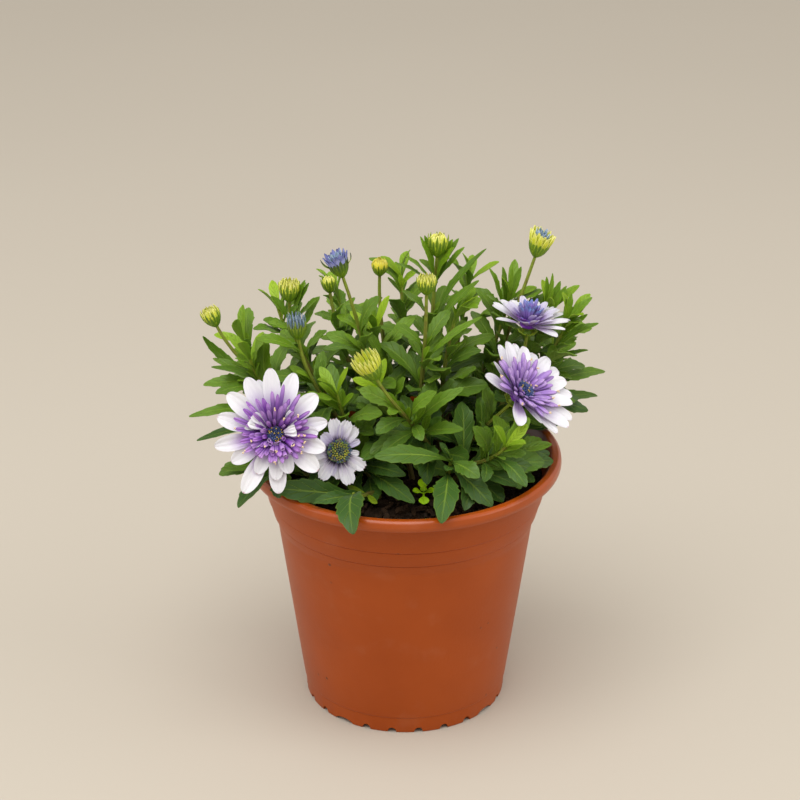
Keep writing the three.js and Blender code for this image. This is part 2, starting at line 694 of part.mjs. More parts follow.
/** A seedling: a short stem with round leaves, the back one raised and the front one hanging. */
function seedling() {
  const { foot, end } = seedlingLine();
  const bottom = foot.clone().setZ(foot.z - STEM_DEPTH);
  const pieces = [tube([bottom, end], [STALK_RADIUS, STALK_RADIUS * 0.8], STEM_SIDES)];
  SEEDLING.leaves.forEach(([azimuth, rise]) => {
    const out = vec(Math.cos(radians(azimuth)), Math.sin(radians(azimuth)), rise);
    pieces.push(
      blade({
        root: end.clone().addScaledVector(out, -0.3).setZ(end.z - 0.6),
        tip: end.clone().addScaledVector(out, SEEDLING.leaf),
        up: vec(0, 0, 1),
        width: SEEDLING.width,
        thickness: 1,
        kind: "young",
      }),
    );
  });
  return joined(pieces);
}

// ---------------------------------------------------------------- leaves on their shoots

// Leaves that are seen one by one: [shoot, share of its stem, tip x, y, z, width], and the arch
// where it isn't the usual one.
const CHOSEN_LEAVES = [
  ["leafy_06", 0.6, 18, -90, 147.5, 14],
  ["leafy_06", 0.8, 45, -57, 140, 12.5],
  ["leafy_06", 0.92, 38, -58, 157, 11],
  ["leafy_06", 0.95, -16, -60, 170, 12],
  ["leafy_07", 0.75, -26.4, -93, 142.9, 15.5, 0.2],
  ["leafy_07", 0.6, -70, -61, 142, 13],
  ["leafy_07", 0.85, -47, -70, 149, 7],
  ["leafy_04", 0.3, 58.7, -47, 146.8, 9],
  ["leafy_04", 0.7, 68, -37, 151.2, 8.5],
  ["leafy_08", 0.7, 73.8, -28, 151, 9],
  ["leafy_08", 0.5, 77.5, -12, 149, 9],
  ["leafy_09", 0.7, -86, -70, 146, 10.5],
  ["leafy_09", 0.8, -96, -50, 158, 6.5],
  ["leafy_10", 0.55, -113.5, -30, 179, 7.5],
  ["leafy_10", 0.4, -110, -30, 165, 6.5],
  ["leafy_10", 0.8, -107, -12, 189, 8],
  ["leafy_11", 0.6, 112.5, 58, 166, 8.5],
  ["leafy_11", 0.4, 108, 50, 154.5, 8],
  ["leafy_11", 0.85, 100, 30, 191, 5],
  ["leafy_03", 0.8, 104, 18, 212, 5],
  ["leafy_03", 0.95, 100, 18, 227, 5],
  ["bud_09", 0.45, -13, -50, 166, 8.5],
  ["bud_09", 0.52, 30, -38, 199, 8],
  ["bud_09", 0.4, 30, -44, 178, 8],
  ["bud_09", 0.6, -20, -22, 192, 6],
  ["bud_07", 0.62, 43, 20, 254, 5],
  ["bud_07", 0.55, 39, 12, 239, 8],
  ["bud_08", 0.6, 40, -14, 229, 5],
  ["leafy_14", 0.45, 4, 92.5, 152, 10],
  ["leafy_14", 0.25, -14, 60, 152, 11],
  ["leafy_15", 0.25, 40, 62, 150, 11],
  ["leafy_13", 0.25, -36, 66, 152, 11],
  ["bud_06", 0.16, -10, 48, 150, 11],
  ["bud_07", 0.16, 22, 46, 152, 11],
  ["bud_09", 0.22, -16.7, -47, 163.8, 9],
  ["bloom_d", 0.22, 4.7, -60, 143.5, 11],
  ["bloom_d", 0.32, 0, -52, 155.5, 9],
  ["bloom_d", 0.4, -26, -66, 151, 12],
  ["leafy_18", 0.2, -20, -46, 153, 9],
  ["leafy_18", 0.3, -34, -8, 158, 9],
  ["bloom_d", 0.2, -40, -24, 150, 10],
  ["bud_01", 0.6, -107.5, 0, 212, 5.5, -0.2],
  ["bud_01", 0.55, -103, 5, 197, 6],
  ["bud_01", 0.5, -101.7, -20, 203, 6],
  ["leafy_10", 0.72, -74, -8, 217, 11],
  ["bud_03", 0.92, -77.8, -25, 221, 8],
  ["bud_02", 0.86, -74, 10, 224.5, 5, -0.15],
  ["bud_02", 0.92, -72, 20, 228, 6.5, -0.1],
  ["bud_02", 0.75, -46, 20, 226, 5],
  ["bud_05", 0.72, -32.8, 22, 222, 8.5],
  ["bud_05", 0.66, -32, 15, 212, 6],
  ["leafy_20", 0.6, -26, 5, 213, 9],
];

// How leaves are set along a kind of shoot: [first share, last share, count, lower length, upper length].
const LEAF_RUN = {
  bud: [0.26, 0.68, 5, 37, 26],
  bloom: [0.24, 0.62, 5, 35, 26],
  leafy: [0.28, 0.9, 6, 37, 27],
};
const LEAF_SLENDERNESS = 0.33; // width for length
const LIGHT = vec(0, -0.75, 0.65); // where most light comes from
const LIGHT_PULL = [0.25, 0.9, 0.5]; // how far each leaf in turn has twisted to it
const CHOSEN_PULL = 1;
// Gaps in the foliage, open towards the front and the light: a point and a radius.
// They are over the seedling, the young flower and the bare mix.
const OPENINGS = [
  [9.6, -41, 140, 3.5],
  [-35.4, -43, 165, 14],
  [-7, -64, 134, 5],
];
const OPENING_DIRECTION = vec(0, -0.91, 0.42);
const OPENING_LENGTH = 70;
const OPENING_SIDES = 8;
const TUFT = { count: 3, length: 20, width: 5.5, spread: 28 }; // young leaves at the end of a leafy shoot

// A leaf that would touch a neighbour is tried again: [turn, lift] in degrees, and a share of its length.
const TRIES = [
  [0, 0, 1],
  [16, 0, 1],
  [-16, 0, 1],
  [0, 14, 1],
  [0, -14, 1],
  [34, 8, 0.9],
  [-34, 8, 0.9],
  [0, 22, 0.75],
  [60, 4, 0.8],
  [-60, 4, 0.8],
  [95, 10, 0.7],
];

/** The leaf's reach from its root, turned about the stem, lifted and shortened for one try. */
function reachFor(reach, stemAlong, [turn, lift, share]) {
  const turnedReach = reach.clone().applyAxisAngle(stemAlong, radians(turn));
  const hinge = turnedReach.clone().cross(stemAlong).normalize();
  return turnedReach.applyAxisAngle(hinge, radians(lift)).multiplyScalar(share);
}

/** The direction square to a stem at an azimuth in degrees, counted from world +Y. */
function outward(along, azimuth) {
  const out = vec(0, 1, 0).addScaledVector(along, -along.y).normalize();
  return out.applyAxisAngle(along, radians(azimuth));
}

/** The chosen leaves of a shoot, as { share, reach, width, kind, pull, arch, fold, sway }. */
function chosenLeaves(name, line) {
  return CHOSEN_LEAVES.filter(([owner]) => owner === name).map(([, share, x, y, z, width, arch = 0.1]) => {
    const reach = vec(x, y, z).sub(line.curve.getPoint(share));
    return { share, reach, width, kind: "toothed", pull: CHOSEN_PULL, arch, fold: 0.14, sway: 0 };
  });
}

/** The leaves set in a spiral along a shoot, longer below than above. */
function runLeaves(line, run, number) {
  const random = seeded(number * 7919 + 13);
  const leaves = [];
  const [first, last, count, lower, upper] = run;
  let azimuth = 360 * random();
  for (let i = 0; i < count; i++) {
    const rank = i / (count - 1);
    const share = mix(first, last, rank);
    const along = line.curve.getTangent(share);
    azimuth += GOLDEN_ANGLE + 20 * (random() - 0.5);
    const angle = radians(mix(74, 46, rank) + 12 * (random() - 0.5));
    const length = mix(lower, upper, rank) * mix(0.88, 1.12, random());
    const out = outward(along, azimuth);
    const reach = along.clone().multiplyScalar(Math.cos(angle)).addScaledVector(out, Math.sin(angle));
    leaves.push({
      share,
      reach: reach.multiplyScalar(length),
      width: length * LEAF_SLENDERNESS * mix(0.9, 1.12, random()),
      kind: "cut",
      pull: LIGHT_PULL[i % 3],
      arch: 0.1 + 0.05 * random(),
      fold: 0.12,
      sway: 0.16 * (random() - 0.5),
    });
  }
  return leaves;
}

/** The young leaves in a tuft at a shoot's end. */
function tuftLeaves(line, number) {
  const random = seeded(number * 104729 + 5);
  const along = line.curve.getTangent(1);
  const start = 360 * random();
  return Array.from({ length: TUFT.count }, (_, i) => {
    const azimuth = start + (360 * i) / TUFT.count + 14 * (random() - 0.5);
    const angle = radians(TUFT.spread + 16 * (i % 2) + 8 * random());
    const out = outward(along, azimuth);
    const length = TUFT.length * mix(0.8, 1.15, random());
    const reach = along.clone().multiplyScalar(Math.cos(angle)).addScaledVector(out, Math.sin(angle));
    return {
      share: 0.985,
      reach: reach.multiplyScalar(length),
      width: TUFT.width,
      kind: "young",
      pull: LIGHT_PULL[i % 3],
      arch: 0.06,
      fold: 0.2,
      sway: 0,
    };
  });
}

/** One leaf's blade for one try; `grow` swells it for the clearance test. */
function leafBlade(leaf, line, attempt, grow) {
  const along = line.curve.getTangent(leaf.share);
  const base = line.curve.getPoint(leaf.share);
  const reach = reachFor(leaf.reach, along, attempt);
  const root = base.clone().addScaledVector(reach.clone().normalize(), -ROOT_SUNK);
  const { width, kind, arch, fold, sway } = leaf;
  return blade({
    root,
    tip: base.clone().add(reach),
    up: along.clone().addScaledVector(LIGHT, leaf.pull),
    width: width * Math.sqrt(attempt[2]),
    thickness: BLADE_THICKNESS,
    kind,
    arch,
    fold,
    sway,
    grow,
  });
}

// ---------------------------------------------------------------- assembly

const nodes = new Map(); // name -> { made, colour, roughness }

const openings = joined(
  OPENINGS.map(([x, y, z, radius]) => {
    const from = vec(x, y, z);
    const to = from.clone().addScaledVector(OPENING_DIRECTION, OPENING_LENGTH);
    return tube([from, to], [radius, radius], OPENING_SIDES);
  }),
);

const boxesMeet = (a, b) => [0, 1, 2].every((i) => a.min[i] <= b.max[i] && b.min[i] <= a.max[i]);

/** Whether a solid keeps clear of the openings and of every node but its own. */
function isClear(candidate, owner) {
  if (candidate.intersect(openings).volume() > 0) return false;
  const box = candidate.boundingBox();
  for (const [name, node] of nodes) {
    if (name === owner || !boxesMeet(box, node.made.boundingBox())) continue;
    if (candidate.intersect(node.made).volume() > 0) return false;
  }
  return true;
}

/** Adds leaves to a shoot, each at the first try that touches nothing. */
function grow(name, line, leaves) {
  const node = nodes.get(name);
  for (const leaf of leaves) {
    for (const attempt of TRIES) {
      if (!isClear(leafBlade(leaf, line, attempt, GAP), name)) continue;
      const made = leafBlade(leaf, line, attempt, 0);
      if (node.foliage && made.intersect(node.foliage).volume() > OWN_OVERLAP) continue;
      node.foliage = node.foliage ? node.foliage.add(made) : made;
      node.made = node.made.add(made);
      break;
    }
  }
}

const shoots = [];

function addShoot(name, line, head, run, leafy) {
  const made = head ? stem(line).add(head) : stem(line);
  nodes.set(name, { made, colour: COLOURS.leaf, roughness: 0.55 });
  shoots.push({ name, line, run, leafy });
}

BUDS.forEach((bud, i) => {
  const number = String(i + 1).padStart(2, "0");
  const line = stemCurve(bud);
  const stalk = BUD_STALK * bud.radius;
  const frame = facing(line.end.clone().addScaledVector(line.direction, stalk), line.direction);
  const cup = {
    radius: bud.radius,
    depth: stalk,
    bracts: 6,
    rise: bud.radius * mix(0.5, 0.75, bud.open),
    flare: mix(0.86, 1.15, bud.open),
  };
  addShoot(`bud_${number}`, line, moved(calyx(cup), frame), LEAF_RUN.bud, false);
  const petals = { radius: bud.radius, height: bud.radius * mix(0.8, 1.25, bud.open), petals: 5 };
  nodes.set(`petals_${number}`, {
    made: moved(budPetals(petals), frame),
    colour: COLOURS[bud.tint],
    roughness: 0.5,
  });
});

BLOOMS.forEach((bloom) => {
  const { letter, hub, rays, plate, rings, disc } = bloom;
  const axis = vec(...bloom.axis).normalize();
  const centre = vec(...bloom.centre);
  const tip = centre.clone().addScaledVector(axis, -HUB_DEPTH - BLOOM_STALK);
  const line = stemCurve({ base: bloom.base, tip: tip.toArray(), axis: bloom.axis });
  const frame = facing(centre, axis);
  const under = facing(centre.clone().addScaledVector(axis, -HUB_DEPTH - GAP), axis);
  const cup = { radius: hub * 0.8, depth: BLOOM_STALK, bracts: 5, rise: -0.6, flare: 1.4 };
  addShoot(`bloom_${letter}`, line, moved(calyx(cup), under), LEAF_RUN.bloom, false);
  nodes.set(`rays_${letter}`, {
    made: moved(rayCrown({ hub, rays }), frame),
    colour: COLOURS.ray,
    roughness: 0.5,
  });
  nodes.set(`florets_${letter}`, {
    made: moved(floretCrown({ seat: FLORET_SEAT, plate, rings }), frame),
    colour: letter === "d" ? COLOURS.greenDisc : COLOURS.floret,
    roughness: 0.5,
  });
  nodes.set(`disc_${letter}`, {
    made: moved(discDome({ seat: FLORET_SEAT + PLATE_DEPTH + GAP, ...disc }), frame),
    colour: COLOURS.disc,
    roughness: 0.6,
  });
});

LEAFY.forEach((shoot, i) => {
  const number = String(i + 1).padStart(2, "0");
  addShoot(`leafy_${number}`, stemCurve(shoot), null, shoot.bare ? null : LEAF_RUN.leafy, !shoot.bare);
});

nodes.set("pot", { made: pot(), colour: COLOURS.pot, roughness: 0.45 });
nodes.set("seedling", { made: seedling(), colour: COLOURS.seedling, roughness: 0.5 });
const holes = [...shoots.map(({ line }) => line), seedlingLine()].map(stemHole);
nodes.set("soil", { made: soil(holes), colour: COLOURS.soil, roughness: 0.95 });

shoots.forEach(({ name, line }) => grow(name, line, chosenLeaves(name, line)));
shoots.forEach(({ name, line, run }, i) => {
  if (run) grow(name, line, runLeaves(line, run, i));
});
shoots.forEach(({ name, line, leafy }, i) => {
  if (leafy) grow(name, line, tuftLeaves(line, i));
});

/** A node's solid without the loose scraps that joining can leave. */
function largestBody(made) {
  const bodies = made.decompose();
  return bodies.reduce((best, body) => (body.volume() > best.volume() ? body : best), bodies[0]);
}

/** A named mesh of one node. */
function meshOf(name, { made, colour, roughness }) {
  const { vertProperties, triVerts, numProp } = made.getMesh();
  const geometry = new THREE.BufferGeometry();
  const positions = new Float32Array((vertProperties.length / numProp) * 3);
  for (let i = 0; i * numProp < vertProperties.length; i++)
    positions.set(vertProperties.subarray(i * numProp, i * numProp + 3), i * 3);
  geometry.setAttribute("position", new THREE.BufferAttribute(positions, 3));
  geometry.setIndex(new THREE.BufferAttribute(new Uint32Array(triVerts), 1));
  geometry.computeVertexNormals();
  const material = new THREE.MeshStandardMaterial({ color: colour, roughness, metalness: 0 });
  const mesh = new THREE.Mesh(geometry, material);
  mesh.name = name;
  return mesh;
}

const group = new THREE.Group();
for (const [name, node] of nodes) group.add(meshOf(name, { ...node, made: largestBody(node.made) }));
export default group;
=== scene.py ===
# %% [markdown]
# # A potted osteospermum
# An osteospermum is sold in bud and flower, in a thin plastic nursery pot full of bark-based mix. The packed
# model holds the pot, the soil, every shoot and every flower head at its real size. This lesson keeps those
# places and makes each piece fine: toothed leaves with veins, rows of bracts, ray petals, tubular florets.

# %% Load the frame
import math
import random

import bpy
import numpy as np
from mathutils import Matrix, Vector
from mathutils.bvhtree import BVHTree
from mathutils.kdtree import KDTree


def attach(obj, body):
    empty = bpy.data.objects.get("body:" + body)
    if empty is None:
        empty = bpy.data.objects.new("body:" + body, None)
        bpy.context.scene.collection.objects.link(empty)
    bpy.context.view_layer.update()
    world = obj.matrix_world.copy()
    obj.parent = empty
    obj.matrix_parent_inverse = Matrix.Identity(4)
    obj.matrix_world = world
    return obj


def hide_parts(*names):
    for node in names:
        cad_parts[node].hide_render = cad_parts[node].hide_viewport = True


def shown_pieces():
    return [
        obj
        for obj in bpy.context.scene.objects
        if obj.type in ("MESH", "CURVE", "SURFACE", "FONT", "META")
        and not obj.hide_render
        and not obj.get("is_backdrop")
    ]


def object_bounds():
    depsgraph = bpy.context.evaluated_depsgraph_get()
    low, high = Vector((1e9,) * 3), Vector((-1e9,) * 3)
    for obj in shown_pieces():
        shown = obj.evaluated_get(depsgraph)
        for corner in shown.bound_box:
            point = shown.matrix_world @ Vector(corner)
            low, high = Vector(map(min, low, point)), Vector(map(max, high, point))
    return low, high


MM = 0.001
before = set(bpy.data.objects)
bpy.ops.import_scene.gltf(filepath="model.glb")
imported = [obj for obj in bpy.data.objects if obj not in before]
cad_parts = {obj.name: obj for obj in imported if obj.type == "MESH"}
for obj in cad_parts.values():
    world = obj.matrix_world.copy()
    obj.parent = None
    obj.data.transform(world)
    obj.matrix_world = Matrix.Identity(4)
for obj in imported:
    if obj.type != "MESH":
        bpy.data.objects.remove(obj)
cad_box = [list(corner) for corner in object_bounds()]

SEEDS = {"small leaves": 500, "shoots": 900, "buds": 1300, "rays": 1700, "florets": 2100, "petaloids": 2500,
         "domes": 2900, "seedling": 3300, "ground": 3700, "chips": 4100, "litter": 4500}


def draws(what, number=0):
    """A source of numbers from 0 to 1 that gives the same ones in every run."""
    return random.Random(SEEDS[what] + number).random


print("frame:", len(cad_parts), "nodes, box", [[round(v / MM) for v in c] for c in cad_box])

# %% [markdown]
# The camera looks down on the plant a little, from over a metre away, with a long lens, so that the pot's
# sides stay almost parallel. It comes first, because everything later is judged through it.

# %% Camera
CAMERA_PLACE = (-0.00285, -1.0865, 0.6716)
CAMERA_DOWN = 24.57  # degrees below the horizon
bpy.ops.object.camera_add(location=CAMERA_PLACE, rotation=(math.radians(90 - CAMERA_DOWN), 0, 0))
camera = bpy.context.object
camera.data.lens = 100
camera.data.sensor_width = 36
bpy.context.scene.camera = camera
print("camera at", CAMERA_PLACE)

# %% [markdown]
# A finish is a node tree. Its maths is written as Python expressions: a Socket wraps one output of a node and
# overloads the operators, so that a sum on it adds the node that works it out.

# %% Shader maths
UNDERSIDE = 2  # added to the length coordinate of a blade's lower face


class Socket:
    """One output of a node, so that sums on it add Math nodes."""

    def __init__(self, finish, out):
        self.finish = finish
        self.out = out

    def math(self, operation, *values):
        return self.finish.node("ShaderNodeMath", {"operation": operation}, dict(enumerate(values)))

    def __add__(self, other):
        return self.math("ADD", self, other)

    def __sub__(self, other):
        return self.math("SUBTRACT", self, other)

    def __rsub__(self, other):
        return self.math("SUBTRACT", other, self)

    def __mul__(self, other):
        return self.math("MULTIPLY", self, other)

    __radd__ = __add__
    __rmul__ = __mul__

    def call(self, operation):
        """A Math node with this one input, such as ABSOLUTE, FRACT or SINE."""
        return self.math(operation, self)

    def ramp(self, low, high):
        """0 below low and 1 above high, with a smooth step between; low may be the larger."""
        values = {"Value": self, "From Min": low, "From Max": high}
        return self.finish.node("ShaderNodeMapRange", {"interpolation_type": "SMOOTHSTEP"}, values)


print("sums on sockets ready")

# %% [markdown]
# A Finish is one material. It reads a blade's coordinates and each copy's tint, mixes colours, and feeds the
# shader.

# %% Finishes
class Finish:
    """A material in the making. Fixed values go in by the name of the shader's socket."""

    def __init__(self, name, **fixed):
        self.material = bpy.data.materials.new(name)
        self.material.use_nodes = True
        self.tree = self.material.node_tree
        self.shader = self.tree.nodes["Principled BSDF"]
        for socket, value in fixed.items():
            self.shader.inputs[socket.replace("_", " ")].default_value = value

    def feed(self, socket, value):
        if isinstance(value, Socket):
            self.tree.links.new(value.out, socket)
        elif isinstance(value, tuple) and len(value) == 3 and socket.type == "RGBA":
            socket.default_value = (*value, 1)
        else:
            socket.default_value = value

    def node(self, kind, settings=None, inputs=None, output=0):
        """Any node, from its type, its settings and what feeds its sockets."""
        made = self.tree.nodes.new(kind)
        for name, value in (settings or {}).items():
            setattr(made, name, value)
        for name, value in (inputs or {}).items():
            self.feed(made.inputs[name], value)
        return Socket(self, made.outputs[output])

    def mix(self, share, first, second):
        """From the first colour to the second one."""
        sockets = {0: share, 6: first, 7: second}
        return self.node("ShaderNodeMix", {"data_type": "RGBA"}, sockets, output=2)

    def shade(self, colour, factor):
        """A colour made darker or lighter by a factor."""
        sockets = {0: 1.0, 6: colour, 7: factor}
        return self.node("ShaderNodeMix", {"data_type": "RGBA", "blend_type": "MULTIPLY"}, sockets, output=2)

    def place(self):
        return self.node("ShaderNodeTexCoord", output="Object")

    def noise(self, scale, detail=3, vector=None, output="Factor"):
        sockets = {"Vector": vector or self.place(), "Scale": scale, "Detail": detail}
        name = "Fac" if output == "Factor" else output
        return self.node("ShaderNodeTexNoise", None, sockets, output=name)

    def surface(self):
        """A blade's length from 0 to 1, its width from -1 to 1, and whether this is its lower face."""
        uv = self.node("ShaderNodeUVMap", {"uv_map": "blade"})
        along, across = [self.node("ShaderNodeSeparateXYZ", None, {0: uv}, output=axis) for axis in "XY"]
        under = along.ramp(UNDERSIDE - 0.6, UNDERSIDE - 0.4)
        return along - under * UNDERSIDE, across, under

    def tint(self):
        """The three numbers that each copy of a shape carries."""
        vector = self.node("ShaderNodeAttribute", {"attribute_name": "tint"}, output="Vector")
        return [self.node("ShaderNodeSeparateXYZ", None, {0: vector}, output=axis) for axis in "XYZ"]

    def set(self, **values):
        for name, value in values.items():
            self.feed(self.shader.inputs[name.replace("_", " ")], value)

    def bump(self, height, distance, strength=1.0):
        sockets = {"Height": height, "Distance": distance, "Strength": strength}
        self.set(Normal=self.node("ShaderNodeBump", None, sockets, output="Normal"))


print("finishes ready")

# %% [markdown]
# The pot is injection-moulded plastic, coloured right through. It shows a faint mottling, a few specks of
# soil and a soft sheen that is stronger on the rubbed lip.

# %% Plastic
def plastic_finish():
    finish = Finish("terracotta_plastic", Roughness=0.4, Specular_IOR_Level=0.28, Coat_Roughness=0.16)
    place = finish.place()
    mottle = finish.noise(22, 4)
    grain = finish.noise(700, 2)
    height = finish.node("ShaderNodeSeparateXYZ", None, {0: place}, output="Z")
    colour = finish.mix(mottle.ramp(0.3, 0.72), (0.335, 0.054, 0.001), (0.375, 0.064, 0.003))
    dust = finish.noise(60, 5).ramp(0.55, 0.8) * 0.06
    colour = finish.mix(dust, colour, (0.5, 0.3, 0.2))
    speck = finish.node("ShaderNodeTexVoronoi", None, {"Vector": place, "Scale": 120}, output="Distance")
    rare = finish.noise(34, 2).ramp(0.6, 0.66)
    speck = speck.ramp(0.13, 0.08) * rare
    colour = finish.mix(speck * 0.75, colour, (0.08, 0.035, 0.02))
    lip = height.ramp(0.136, 0.14)
    rough = 0.36 + mottle * 0.08 + grain * 0.05 - lip * 0.1
    finish.set(Base_Color=colour, Roughness=rough, Coat_Weight=lip * 0.3)
    finish.bump(grain * 0.5 + mottle + speck, 0.0001)
    return finish.material


PLASTIC = plastic_finish()
print("plastic ready")

# %% [markdown]
# Potting mix is dark, composted bark: almost black where it is damp, with brown and a few pale splinters.

# %% Bark and mix
def bark_finish():
    finish = Finish("bark_mix", Roughness=0.9, Specular_IOR_Level=0.12)
    shade, warm, pale = finish.tint()
    patch = finish.noise(220, 4)
    grain = finish.noise(900, 4)
    colour = finish.mix(shade + patch * 0.5, (0.003, 0.0022, 0.0014), (0.022, 0.0135, 0.008))
    colour = finish.mix(warm * patch, colour, (0.055, 0.027, 0.011))
    colour = finish.mix(pale, colour, (0.15, 0.09, 0.045))
    finish.set(Base_Color=colour, Roughness=0.78 + grain * 0.2)
    finish.bump(grain + patch, 0.0009)
    return finish.material


BARK = bark_finish()
print("bark ready")

# %% [markdown]
# An osteospermum leaf is satin, with a pale midrib, fine side veins and a thin yellow-green margin. Young
# leaves are bright and yellowish, and old ones dark. The blade's own coordinates draw the veins, and each
# leaf's tint says how old it is; on low leaves it also holds painted shade. The seedling's leaves are
# the freshest, and their colour is raised further as painted light, since they stand in shade.

# %% Leaf
def leaf_finish(name, fresh):
    finish = Finish(name, Roughness=0.5, Specular_IOR_Level=0.3, Subsurface_Weight=0.15)
    finish.set(Subsurface_Radius=(0.35, 0.6, 0.08), Subsurface_Scale=0.0025)
    along, across, under = finish.surface()
    age, own, bright = finish.tint()
    edge = across.call("ABSOLUTE")
    midrib = edge.ramp(0.12, 0.03) * (1.15 - along)
    vein = (along * 6.5 - edge * 1.6).call("FRACT") - 0.5
    vein = vein.call("ABSOLUTE").ramp(0.1, 0.02) * edge.ramp(1.0, 0.3) * edge.ramp(0.02, 0.12)
    margin = edge.ramp(0.88, 0.98)
    patch = finish.noise(110, 3)
    # Towards old leaves the green darkens; on low leaves this share also carries painted shade.
    colour = finish.mix(age, (0.165, 0.3, 0.008), (0.042, 0.105, 0.014))
    # The fresh colour of young leaves; the seedling's is set lighter than its own green, as painted light.
    colour = finish.mix(bright, colour, fresh)
    colour = finish.shade(colour, finish.mix(patch * 0.5 + own * 0.6, (0.66, 0.7, 0.6), (1.2, 1.14, 1.1)))
    colour = finish.mix(under * 0.45, colour, (0.2, 0.31, 0.05))
    pale = (midrib * 0.55 + vein * 0.2 + margin * 0.12) * (1.05 - bright)
    colour = finish.mix(pale, colour, (0.3, 0.43, 0.04))
    finish.set(Base_Color=colour, Roughness=0.38 + patch * 0.2 + under * 0.15)
    finish.bump(midrib * -1.2 - vein + patch * 0.5, 0.0003)
    return finish.material


LEAF = leaf_finish("leaf", (0.42, 0.6, 0.008))
# The seedling's fresh colour is painted light: lighter than its own yellow-green, to make up for the shade of
# the leaves over it.
SEEDLING_LEAF_PAINTED_LIGHT = leaf_finish("seedling_leaf", (0.5, 0.92, 0.004))
print("leaf ready")

# %% [markdown]
# Stems turn from brown at the soil, through olive, to fresh green under the flowers.

# %% Stem
def stem_finish():
    finish = Finish("stem", Roughness=0.55, Specular_IOR_Level=0.35)
    along, around, _ = finish.surface()
    streak = finish.noise(260, 3)
    colour = finish.mix(along.ramp(0.0, 0.5), (0.13, 0.085, 0.03), (0.15, 0.16, 0.022))
    colour = finish.mix(along.ramp(0.55, 1.0), colour, (0.24, 0.31, 0.025))
    colour = finish.mix(streak.ramp(0.48, 0.7) * 0.5, colour, (0.16, 0.085, 0.03))
    finish.set(Base_Color=colour)
    ribs = (around * 15.7).call("SINE")
    finish.bump(ribs * 0.6 + streak, 0.0003)
    return finish.material


STEM = stem_finish()
print("stem ready")

# %% [markdown]
# The bracts that hold a bud are green with pale edges, and darker towards their tips.

# %% Bract
def bract_finish():
    finish = Finish("bract", Roughness=0.5, Specular_IOR_Level=0.35)
    along, across, _ = finish.surface()
    dark, own, _ = finish.tint()
    edge = across.call("ABSOLUTE")
    colour = finish.mix(own, (0.12, 0.24, 0.006), (0.2, 0.35, 0.008))
    colour = finish.mix(edge.ramp(0.3, 0.9) * 0.85, colour, (0.46, 0.58, 0.04))
    colour = finish.mix(along.ramp(0.3, 0.0) * 0.4, colour, (0.1, 0.2, 0.012))
    colour = finish.mix(dark * along.ramp(0.15, 0.9), colour, (0.03, 0.055, 0.02))
    finish.set(Base_Color=colour)
    finish.bump(edge.ramp(0.15, 0.0), 0.0002)
    return finish.material


BRACT = bract_finish()
print("bract ready")

# %% [markdown]
# Closed petals are yellow-green with cream tips, and blue-violet on the buds that are about to open.

# %% Bud petal
def bud_petal_finish(name, low, high, tip):
    finish = Finish(name, Roughness=0.5, Specular_IOR_Level=0.3, Subsurface_Weight=0.15)
    finish.set(Subsurface_Radius=(0.5, 0.5, 0.15), Subsurface_Scale=0.002)
    along, across, _ = finish.surface()
    _, own, bright = finish.tint()
    edge = across.call("ABSOLUTE")
    colour = finish.mix(along.ramp(0.2, 0.75), low, high)
    colour = finish.mix(along.ramp(0.7, 1.0) * (0.35 + own * 0.6), colour, tip)
    colour = finish.mix(edge.ramp(0.3, 1.0) * 0.35, colour, tip)
    colour = finish.mix(bright, colour, (0.16, 0.3, 0.01))
    finish.set(Base_Color=colour)
    finish.bump((across * 9.0).call("SINE"), 0.00006)
    return finish.material


BUD_YELLOW = bud_petal_finish(
    "bud_petal_yellow", (0.36, 0.46, 0.012), (0.74, 0.64, 0.03), (0.86, 0.76, 0.16))
BUD_LIME = bud_petal_finish("bud_petal_lime", (0.3, 0.46, 0.012), (0.66, 0.7, 0.04), (0.9, 0.86, 0.3))
BUD_BLUE = bud_petal_finish("bud_petal_blue", (0.24, 0.22, 0.5), (0.36, 0.38, 0.74), (0.1, 0.11, 0.3))
BUD_STEEL = bud_petal_finish("bud_petal_steel", (0.42, 0.5, 0.03), (0.11, 0.19, 0.26), (0.46, 0.58, 0.78))
print("bud petals ready")

# %% [markdown]
# Ray petals are white with a lilac breath, purple at their base, finely lined along their length, and touched
# with pink at the very tip. On the small young flower their foot is almost black. A ray's tint holds its
# lilac, its own shade and its purple, with 1 added to the purple where the foot is dark.

